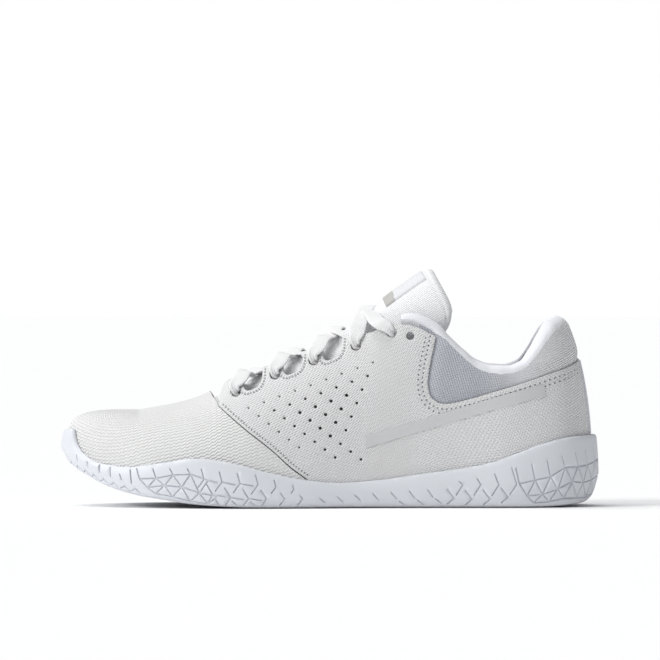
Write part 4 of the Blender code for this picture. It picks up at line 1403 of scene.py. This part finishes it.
def toe_piece(name, material, depths, trim, rows):
    """A layer over the toe, from the sole to the throat and the toe seam."""
    there = toe_stations()
    s = np.concatenate([there[::-1], there[1:]])
    side = np.concatenate([np.full(len(there), -1.0), np.full(len(there) - 1, 1.0)])
    share = np.linspace(0, 1, rows)[None] * toe_tops(s, side, trim)[:, None]
    s, side = np.broadcast_to(s[:, None], share.shape), np.broadcast_to(side[:, None], share.shape)
    outer, inner = (below_skin(s, side, share, depth) for depth in depths)
    return shell(name, material, outer, inner, skin_weave(s, side, share))


def make_toe():
    vamp = toe_piece("vamp_front", FINISH["vamp"], (0.0, 1.2), 0.4, 44)
    dressed(vamp, "shoe", "vamp_knit", "vamp")
    lining = toe_piece("vamp_inside", FINISH["lining"], (3.5, 4.3), 4.0, 30)
    dressed(lining, "shoe", "lining", "vamp_lining")


HOLE_ROWS = [(0, 8), (0, 7), (0, 6), (0, 5), (0, 4), (0, 3), (1, 2), (1, 2), (2, 2)]
HOLE_START = np.array([-40.1, 49.45])
HOLE_ALONG = np.array([7.7, 2.8])
HOLE_DOWN = np.array([5.05, -3.9])
REAR_EDGE = [(50.5, 54.5), (49, 58.5), (48.75, 63), (49.75, 70.5), (51.25, 77.5), (52.6, 84.2)]


def perforations():
    """(centre, radius) of the vent holes: a slanted lattice that tapers to its lower end."""
    found = []
    for row, (first, last) in enumerate(HOLE_ROWS):
        for k in range(first, last + 1):
            at = HOLE_START + HOLE_ALONG * k + HOLE_DOWN * row
            rim = min(row, k, last - k + 1, 2)
            found.append((at, 0.5 + 0.17 * rim))
    return found


def quarter_outline(side):
    """A quarter's edge in (station, height), counter-clockwise from the toe seam's low end."""
    heel = HEEL_TIP - 0.3
    low = run(-11, heel, 2.0)
    rear = run(heel, 54, 1.6)
    top = run(49, -52.7, 0.5)
    front = run(-52.9, -55.2, 0.5)
    seam = run(-55.2, -11.2, 1.2)
    corner = [(51.6, 85.3)]
    return np.concatenate([
        np.column_stack([low, foot_height(low, np.full(len(low), float(side)))]),
        np.column_stack([rear, panel_low(rear)]),
        open_spline([(54, 51.75), *REAR_EDGE], 1.2)[1:],
        corner,
        np.column_stack([top, flap_top(top)]),
        np.column_stack([front, flap_line(front)])[:-1],
        np.column_stack([seam, toe_seam(seam) + 0.4]),
    ])


def upper_rear_edge():
    """The quarter's edge along the collar panel, from the flap's tip to the heel."""
    rear = run(54, HEEL_TIP, 1.0)
    curve = open_spline([(54, 51.75), *REAR_EDGE], 1.0)[::-1]
    return np.concatenate([curve, np.column_stack([rear, panel_low(rear)])[1:]])


def shifted_line(line, by):
    """A line moved sideways, positive to its left."""
    along = np.gradient(line, axis=0)
    along /= np.linalg.norm(along, axis=1, keepdims=True)
    return line + np.stack([-along[:, 1], along[:, 0]], 1) * by


def stitch_plan():
    """Needle points of each seam on a quarter: {name: list of lines of points}."""
    edge = upper_rear_edge()
    fine = resample(shifted_line(edge, -2.7), 1.15)
    near, far = fine[::2], shifted_line(fine, -2.0)[1::2]
    seam = run(-54, -12, 0.5)
    front = np.column_stack([seam, toe_seam(seam)])
    lower = resample(shifted_line(front, 2.1), 1.7)
    plan = {"collar_near": near, "collar_far": far, "toe_seam": lower}
    for k, (middle, _) in enumerate(SCALLOPS):
        s = run(middle - SCALLOP_HALF - 1.4, middle + SCALLOP_HALF + 1.4, 0.1)
        depth = flap_line(middle) - SCALLOPS[k][1]
        across = np.clip(abs(s - middle) / (SCALLOP_HALF + 1.4), 0, 1)
        z = flap_line(s) - 1.0 - (depth + 0.6) * (1 - across**3) ** (1 / 3)
        plan[f"scallop_{k}"] = resample(np.column_stack([s, z]), 1.5)
    return plan


STITCHES = stitch_plan()


def make_quarter(word, side):
    """A quarter with its vent holes, eyelets and needle holes, and its lining."""
    outline = quarter_outline(side)
    pattern = Pattern(outline)
    for by in (0.16, 0.5):
        pattern.closed_line(offset_loop(outline, by))
    holes = [(at, radius, 14) for at, radius in perforations()]
    holes += [(np.array(at), 2.6, 28) for at in EYELETS[:LACED]]
    holes += [(np.array(EYELETS[LACED]), 2.0, 28)]
    needles = [(p, 0.4, 8) for line in STITCHES.values() for p in line]
    for at, radius, count in holes:
        for extra in (0, 0.14, 0.42):
            pattern.closed_line(circle(at, radius + extra, count))
    for at, radius, count in needles:
        for extra in (0, 0.22):
            pattern.closed_line(circle(at, radius + extra, count))
    points, faces = pattern.triangles(1.9)
    middles = points[faces].mean(1)
    centres = np.array([at for at, _, _ in holes + needles])
    radii = np.array([radius for _, radius, _ in holes + needles])
    kept = np.ones(len(faces), bool)
    near_hole = np.full(len(points), 99.0)
    for at, radius in zip(centres, radii):
        kept &= np.hypot(*(middles - at).T) > radius * 0.97
        near_hole = np.minimum(near_hole, abs(np.hypot(*(points - at).T) - radius))
    faces = faces[kept]
    depth = rounded(distance_to(points, closed(outline)), 0.5)
    depth = np.maximum(depth, rounded(near_hole, 0.42))
    used = np.unique(faces)
    remap = np.full(len(points), -1)
    remap[used] = np.arange(len(used))
    points, depth, faces = points[used], depth[used], remap[faces]
    if side == MEDIAL:
        faces = faces[:, ::-1]
    outer, inner = on_side(points, float(side), depth), on_side(points, float(side), 1.2)
    weave = skin_weave(points[:, 0], float(side), rise_at(points[:, 0], float(side), points[:, 1]))
    piece = thick_sheet(f"quarter_shell_{word}", FINISH["quarter"], outer, inner, faces, weave)
    dressed(piece, "shoe", "quarter_textile", f"quarter_{word}")
    make_quarter_lining(word, side)


def make_quarter_lining(word, side):
    low_line = smooth([(-50, 50), (-42, 42), (-28, 31), (-18, 22), (-8, 14), (-2, 9)])
    s = np.concatenate([run(-44, 49, 1.5), run(49.4, HEEL_TIP - 0.3, 1.5)])
    side_line = np.full(len(s), float(side))
    low = np.where(s < -2, rise_at(s, side_line, low_line(s)), 0)
    top = np.where(s < 49.2, np.minimum(eyelet_line(s) - 10.5, 68), panel_low(s) - 2)
    high = rise_at(s, side_line, top)
    share = np.linspace(0, 1, 24)[None]
    rises = low[:, None] + (high - low)[:, None] * share
    s = np.broadcast_to(s[:, None], rises.shape)
    outer, inner = (below_skin(s, float(side), rises, depth) for depth in (3.5, 4.3))
    weave = skin_weave(s, float(side), rises)
    # the dark grey finish on this lining is painted shade seen through the vent holes
    piece = shell(f"quarter_inside_{word}", FINISH["shade"], outer, inner, weave)
    dressed(piece, "shoe", "lining", f"quarter_lining_{word}")


def stitch(a, b, lift, radius):
    """Rings of one thread loop from needle hole a to b, as points on a unit plan."""
    shares = np.array([0.0, 0.1, 0.3, 0.5, 0.7, 0.9, 1.0])
    bulge = np.sqrt(np.clip(1 - (2 * shares - 1) ** 2, 0, 1))
    return a + (b - a) * shares[:, None], lift * bulge, radius * (0.55 + 0.45 * bulge)


def thread_mesh(name, pairs, side, lift, radius):
    """Thread loops on a quarter, one between each pair of needle points."""
    sides = 7
    turn = np.arange(sides) * math.tau / sides
    points, faces = [], []
    for a, b in pairs:
        plan, height, size = stitch(np.array(a), np.array(b), lift, radius)
        path = on_side(plan, float(side), 0.15 - height * 1.3)
        up = path - on_side(plan, float(side), 2.0)
        up /= np.linalg.norm(up, axis=1, keepdims=True)
        along = np.gradient(path, axis=0)
        along /= np.linalg.norm(along, axis=1, keepdims=True)
        across = np.cross(along, up)
        base = len(points) * len(path) * sides
        cos, sin = np.cos(turn)[None, :, None], np.sin(turn)[None, :, None]
        ring = across[:, None] * cos + up[:, None] * sin
        points.append((path[:, None] + size[:, None, None] * ring).reshape(-1, 3))
        index = base + np.arange(len(path) * sides).reshape(-1, sides)
        after = np.roll(index, -1, 1)
        quads = np.stack([index[:-1], after[:-1], after[1:], index[1:]], -1)
        faces += quads.reshape(-1, 4).tolist()
        faces += [index[0, ::-1].tolist(), index[-1].tolist()]
    points = np.concatenate(points)
    return make_mesh(name, points, faces, FINISH["thread"], points * 3, 60)


def make_stitching(word, side):
    """The zigzag round the collar panel, and the rows along the toe seam and scallops."""
    near, far = STITCHES["collar_near"], STITCHES["collar_far"]
    count = min(len(near), len(far))
    zigzag = [(near[k], far[k]) for k in range(count)]
    zigzag += [(far[k], near[k + 1]) for k in range(count - 1)]
    piece = thread_mesh(f"stitch_collar_{word}", zigzag, side, 0.1, 0.13)
    dressed(piece, "shoe", "quarter_textile")
    rows = [STITCHES["toe_seam"]] + [STITCHES[f"scallop_{k}"] for k in range(len(SCALLOPS))]
    pairs = [pair for row in rows for pair in zip(row, row[1:])]
    piece = thread_mesh(f"stitch_front_{word}", pairs, side, 0.06, 0.12)
    dressed(piece, "shoe", "quarter_textile")


def make_panel():
    """The mesh panel below the collar, tucked under the quarters and gently padded."""
    there = run(44.5, HEEL_TIP, 1.3)
    s = np.concatenate([there, there[-2::-1]])
    side = np.concatenate([np.full(len(there), -1.0), np.full(len(there) - 1, 1.0)])
    rows = 40
    low = rise_at(s, side, np.where(s < 51, 56.0, panel_low(s)) - 3.0)
    high = rise_at(s, side, roll_low(s) + 1.4)
    share = np.linspace(0, 1, rows)[None]
    rises = low[:, None] + (high - low)[:, None] * share
    s, side = (np.broadcast_to(v[:, None], rises.shape) for v in (s, side))
    z = skin(s, side, rises)[..., 2]
    flat = np.stack([s, z], -1).reshape(-1, 2)
    gap = distance_to(flat, upper_rear_edge()).reshape(s.shape)
    front, height = zip(*REAR_EDGE)
    hidden = (z < panel_low(s)) | (s < np.interp(z, height, front))
    gap = np.where(hidden, 0, gap)
    puff = 1 - np.clip(gap / 7, 0, 1)
    depth = 1.4 * puff**2 - 0.5 * (1 - puff**2)
    outer = below_skin(s, side, rises, depth)
    inner = below_skin(s, side, rises, 2.0)
    piece = shell("heel_panel", FINISH["panel"], outer, inner, skin_weave(s, side, rises))
    dressed(piece, "shoe", "collar_mesh", "collar_panel")


def roll_low(s):
    return collar_top(s) - roll_depth(s)


PANEL_OVER_ROLL = [(94, 62), (96, 66.5), (98.75, 68.5), (104.5, 74), (108, 81), (112.25, 87.5),
                   (116.25, 92.5), (118, 99)]


def make_roll():
    """The padded collar roll, with its skirt inside the shoe."""
    there = run(35.5, HEEL_TIP, 0.9)
    s = np.concatenate([there, there[-2::-1]])
    side = np.concatenate([np.full(len(there), -1.0), np.full(len(there) - 1, 1.0)])
    section = closed_spline(ROLL_SECTION, 6)
    inset, drop = section[:, 0], section[:, 1]
    full = np.clip((s - 44) / 10, 0, 1)[:, None]
    wide = np.maximum(drop - 3, 0) * np.clip(5 - inset, 0, 1) * (1 - full) * 4
    z = collar_top(s)[:, None] - drop[None] * (roll_depth(s) / 5.0)[:, None] - wide
    ss, sides = (np.broadcast_to(v[:, None], z.shape) for v in (s, side))
    p = skin(ss, sides, rise_at(ss, sides, z))
    _, out = plan_frame(s, side)
    behind = np.clip(wide / 2, 0, 1) * 3.4
    p = p[..., :2] - out[:, None] * (inset[None] * roll_width(s)[:, None] + behind)[..., None]
    points = np.concatenate([p, z[..., None]], -1)
    middle = points[:, :30].mean(1, keepdims=True)
    away = points - middle
    away /= np.linalg.norm(away, axis=-1, keepdims=True)
    along = lengths(points[:, 0])
    soft = 0.14 * np.sin(along / 5.3)[:, None] * np.cos(along / 2.1 + 0.3)[:, None]
    points += away * (soft * (drop < 6)[None])[..., None]
    rows, columns = z.shape
    index = np.arange(rows * columns).reshape(rows, columns)
    after = np.roll(index, -1, 1)
    faces = np.stack([index[:-1], index[1:], after[1:], after[:-1]], -1).reshape(-1, 4).tolist()
    faces += [index[0].tolist(), index[-1, ::-1].tolist()]
    around = lengths(section)
    length = ss + np.maximum(ss - HEEL_X, 0) * HEEL_STRETCH
    weave = np.stack([length, np.broadcast_to(around[None], z.shape), z], -1)
    finishes = [FINISH["roll"], FINISH["panel"]]
    piece = make_mesh("collar_roll", points.reshape(-1, 3), faces, finishes, weave.reshape(-1, 3), 60)
    limit = smooth(PANEL_OVER_ROLL)
    for face in piece.data.polygons:
        x, y, height = face.center / MM
        outward = face.normal.x * (x - HEEL_X) + face.normal.y * y > 0
        if x > PANEL_OVER_ROLL[0][0] and height < limit(x) and outward:
            face.material_index = 1
    dressed(piece, "shoe", "collar_knit", "collar_lining")


HEEL_STRIP_HEIGHTS = 36.0, 72.5


def make_heel_strip():
    """The narrow strip over the heel's centre seam."""
    s, side = there_and_back(run(HEEL_TIP - 5, HEEL_TIP, 0.5))
    share = np.linspace(0, 1, 40)[None]
    low, high = (rise_at(s, side, np.full(len(s), z)) for z in HEEL_STRIP_HEIGHTS)
    rises = low[:, None] + (high - low)[:, None] * share
    s, side = (np.broadcast_to(v[:, None], rises.shape) for v in (s, side))
    outer, inner = (below_skin(s, side, rises, depth) for depth in (-0.45, 0.05))
    piece = shell("heel_strip", FINISH["backstay"], outer, inner, skin_weave(s, side, rises))
    dressed(piece, "shoe", "backstay_film", "backstay")


def make_stripes():
    """A plain bar of film on each quarter."""
    line = smooth(STRIPE)
    for word, side in SIDES.items():
        s = run(STRIPE[0][0], STRIPE[1][0], 1.0)
        across = np.linspace(-STRIPE_HALF, STRIPE_HALF, 9)
        z = line(s)[:, None] + across[None]
        ss = np.broadcast_to(s[:, None], z.shape)
        rises = rise_at(ss, float(side), z)
        outer, inner = (below_skin(ss, float(side), rises, depth) for depth in (-0.3, 0.1))
        weave = skin_weave(ss, float(side), rises)
        piece = shell(f"side_bar_{word}", FINISH["film"], outer, inner, weave)
        dressed(piece, "shoe", "stripe_film", f"side_stripe_{word}")


# ---------------------------------------------------------------- the tongue and the insole

TONGUE_THICK = 6.0
TONGUE_REACH = 1.22
TONGUE_CORNER = 9.0
WINDOW_PUFF = 1.9


def tongue_grid():
    """The tongue's face: rows along it and columns over its arch, with a rounded free end."""
    end = run(0, 90, 9)
    level = np.concatenate([
        run(TONGUE_START, TONGUE_TIP - 3, 0.8)[:-1],
        TONGUE_TIP - 3 + 3 * np.sin(np.radians(end)),
    ])
    row_turn = np.concatenate([np.zeros(len(level) - len(end)), end])
    a = run(-TONGUE_REACH, TONGUE_REACH, 0.02)
    corner = np.clip((abs(a) - 0.72) / (TONGUE_REACH - 0.72), 0, 1)
    back = TONGUE_CORNER * (1 - np.sqrt(1 - 0.99 * corner**2))
    share = np.clip((level - TONGUE_HINGE) / (TONGUE_TIP - TONGUE_HINGE), 0, 1)
    t = level[:, None] - back[None] * share[:, None]
    return t, row_turn, a, tongue_point(t, a[None])


def make_tongue():
    """One padded strip, bent across the fold, and the lining behind it."""
    t, row_turn, a, face = tongue_grid()
    n = grid_normals(face)
    if n[len(t) // 2, len(a) // 2, 2] < 0:
        n = -n
    width = np.cumsum(np.linalg.norm(np.diff(face, axis=1), axis=-1), 1)
    width = np.concatenate([np.zeros((len(t), 1)), width], 1)
    from_side = np.minimum(width, width[:, -1:] - width)
    from_tip = (t[-1] - t) * 1.2
    from_edge = np.minimum(from_side, from_tip)
    for middle, low in SCALLOPS:
        for side in (LATERAL, MEDIAL):
            at = on_side((middle, low + 3.0), float(side), TONGUE_CLEARANCE)
            gap = np.linalg.norm(face - at, axis=-1)
            face = face + n * (WINDOW_PUFF * np.exp(-((gap / 6.5) ** 4)))[..., None]
    half = TONGUE_THICK / 2
    side_fall = rounded(from_side, half)
    tip_fall = (half * (1 - np.cos(np.radians(row_turn))))[:, None]
    fall = np.maximum(side_fall, tip_fall)
    seam = 0.55 * np.exp(-(((from_edge - 3.4) / 0.45) ** 2))
    crown = 0.35 * np.clip(from_edge / 9, 0, 1) * (t > TONGUE_HINGE)
    outer = face - n * (fall + seam * (t > -20) - crown)[..., None]
    inner = face - n * (TONGUE_THICK - fall)[..., None]
    weave = np.stack([
        width - width[:, -1:] / 2, t, width * 0
    ], -1)
    piece = shell("tongue", FINISH["tongue"], outer, inner, weave)
    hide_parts("tongue_face_lower", "tongue_face_upper", "tongue_foam_lower",
                "tongue_foam_upper", "tongue_lining_lower", "tongue_lining_upper")
    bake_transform(piece)


def make_label():
    """A woven label without words: a white field and a grey block at its lower end."""
    t = run(26.8, 46.3, 0.5)
    a = run(-0.36, 0.36, 0.02)
    face = tongue_point(t[:, None], a[None])
    n = grid_normals(face)
    if n[len(t) // 2, len(a) // 2, 2] < 0:
        n = -n
    edge = np.minimum.outer(np.minimum(t - t[0], t[-1] - t), np.full(len(a), 99.0))
    side = 24.0 * (0.36 - abs(a))[None]
    fall = rounded(np.minimum(edge, side), 0.5)[..., None]
    outer = face + n * (0.95 - fall)
    inner = face - n * 0.1
    weave = np.stack([*np.broadcast_arrays(a[None] * 24, t[:, None]), edge], -1)
    piece = shell("tongue_tab", [FINISH["label"], FINISH["label_block"]], outer, inner, weave)
    for face in piece.data.polygons:
        if face.center.x < 0.0335 + (0.1 - face.center.z) * 0.3:
            face.material_index = 1
    dressed(piece, "tongue_top", "label", "tongue_label")


def make_sockliner():
    """The loose insole, cupped a little at its edge."""
    there = run(TOE_TIP, HEEL_TIP, 1.5)
    across = np.linspace(-1, 1, 41)
    left = plan_point(there, np.full(len(there), -1.0), SOCKLINER_INSET)
    right = plan_point(there, np.full(len(there), 1.0), SOCKLINER_INSET)
    share = ((across + 1) / 2)[None, :, None]
    xy = left[:, None] * (1 - share) + right[:, None] * share
    base = board(xy[..., 0])
    gap = (1 - abs(across))[None] * np.linalg.norm(right - left, axis=1)[:, None] / 2
    top = SOCKLINER[1] - rounded(gap, 1.2)
    outer = np.concatenate([xy, (base + top)[..., None]], -1)
    inner = np.concatenate([xy, (base + SOCKLINER[0])[..., None]], -1)
    weave = np.stack([xy[..., 0], xy[..., 1], base], -1)
    piece = shell("sockliner", FINISH["sock"], outer, inner, weave)
    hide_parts("sockliner_front", "sockliner_rear")
    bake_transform(piece)


def dress_hidden_nodes():
    """Finishes for the CAD pieces inside the upper that stay as they are."""
    inner = {
        "strobel_board": "board",
        "toe_puff": "board",
        "heel_counter": "board",
        "eyestay_backing_lateral": "board",
        "eyestay_backing_medial": "board",
        "collar_foam": "padding",
    }
    for name, finish in inner.items():
        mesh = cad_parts[name].data
        mesh.materials.clear()
        mesh.materials.append(FINISH[finish])


def main():
    make_camera()
    make_lace_ends()
    make_lacing()
    make_stage()
    make_sole()
    make_toe()
    for word, side in SIDES.items():
        make_quarter(word, side)
        make_stitching(word, side)
    make_panel()
    make_roll()
    make_heel_strip()
    make_stripes()
    make_tongue()
    make_label()
    make_sockliner()
    dress_hidden_nodes()


main()
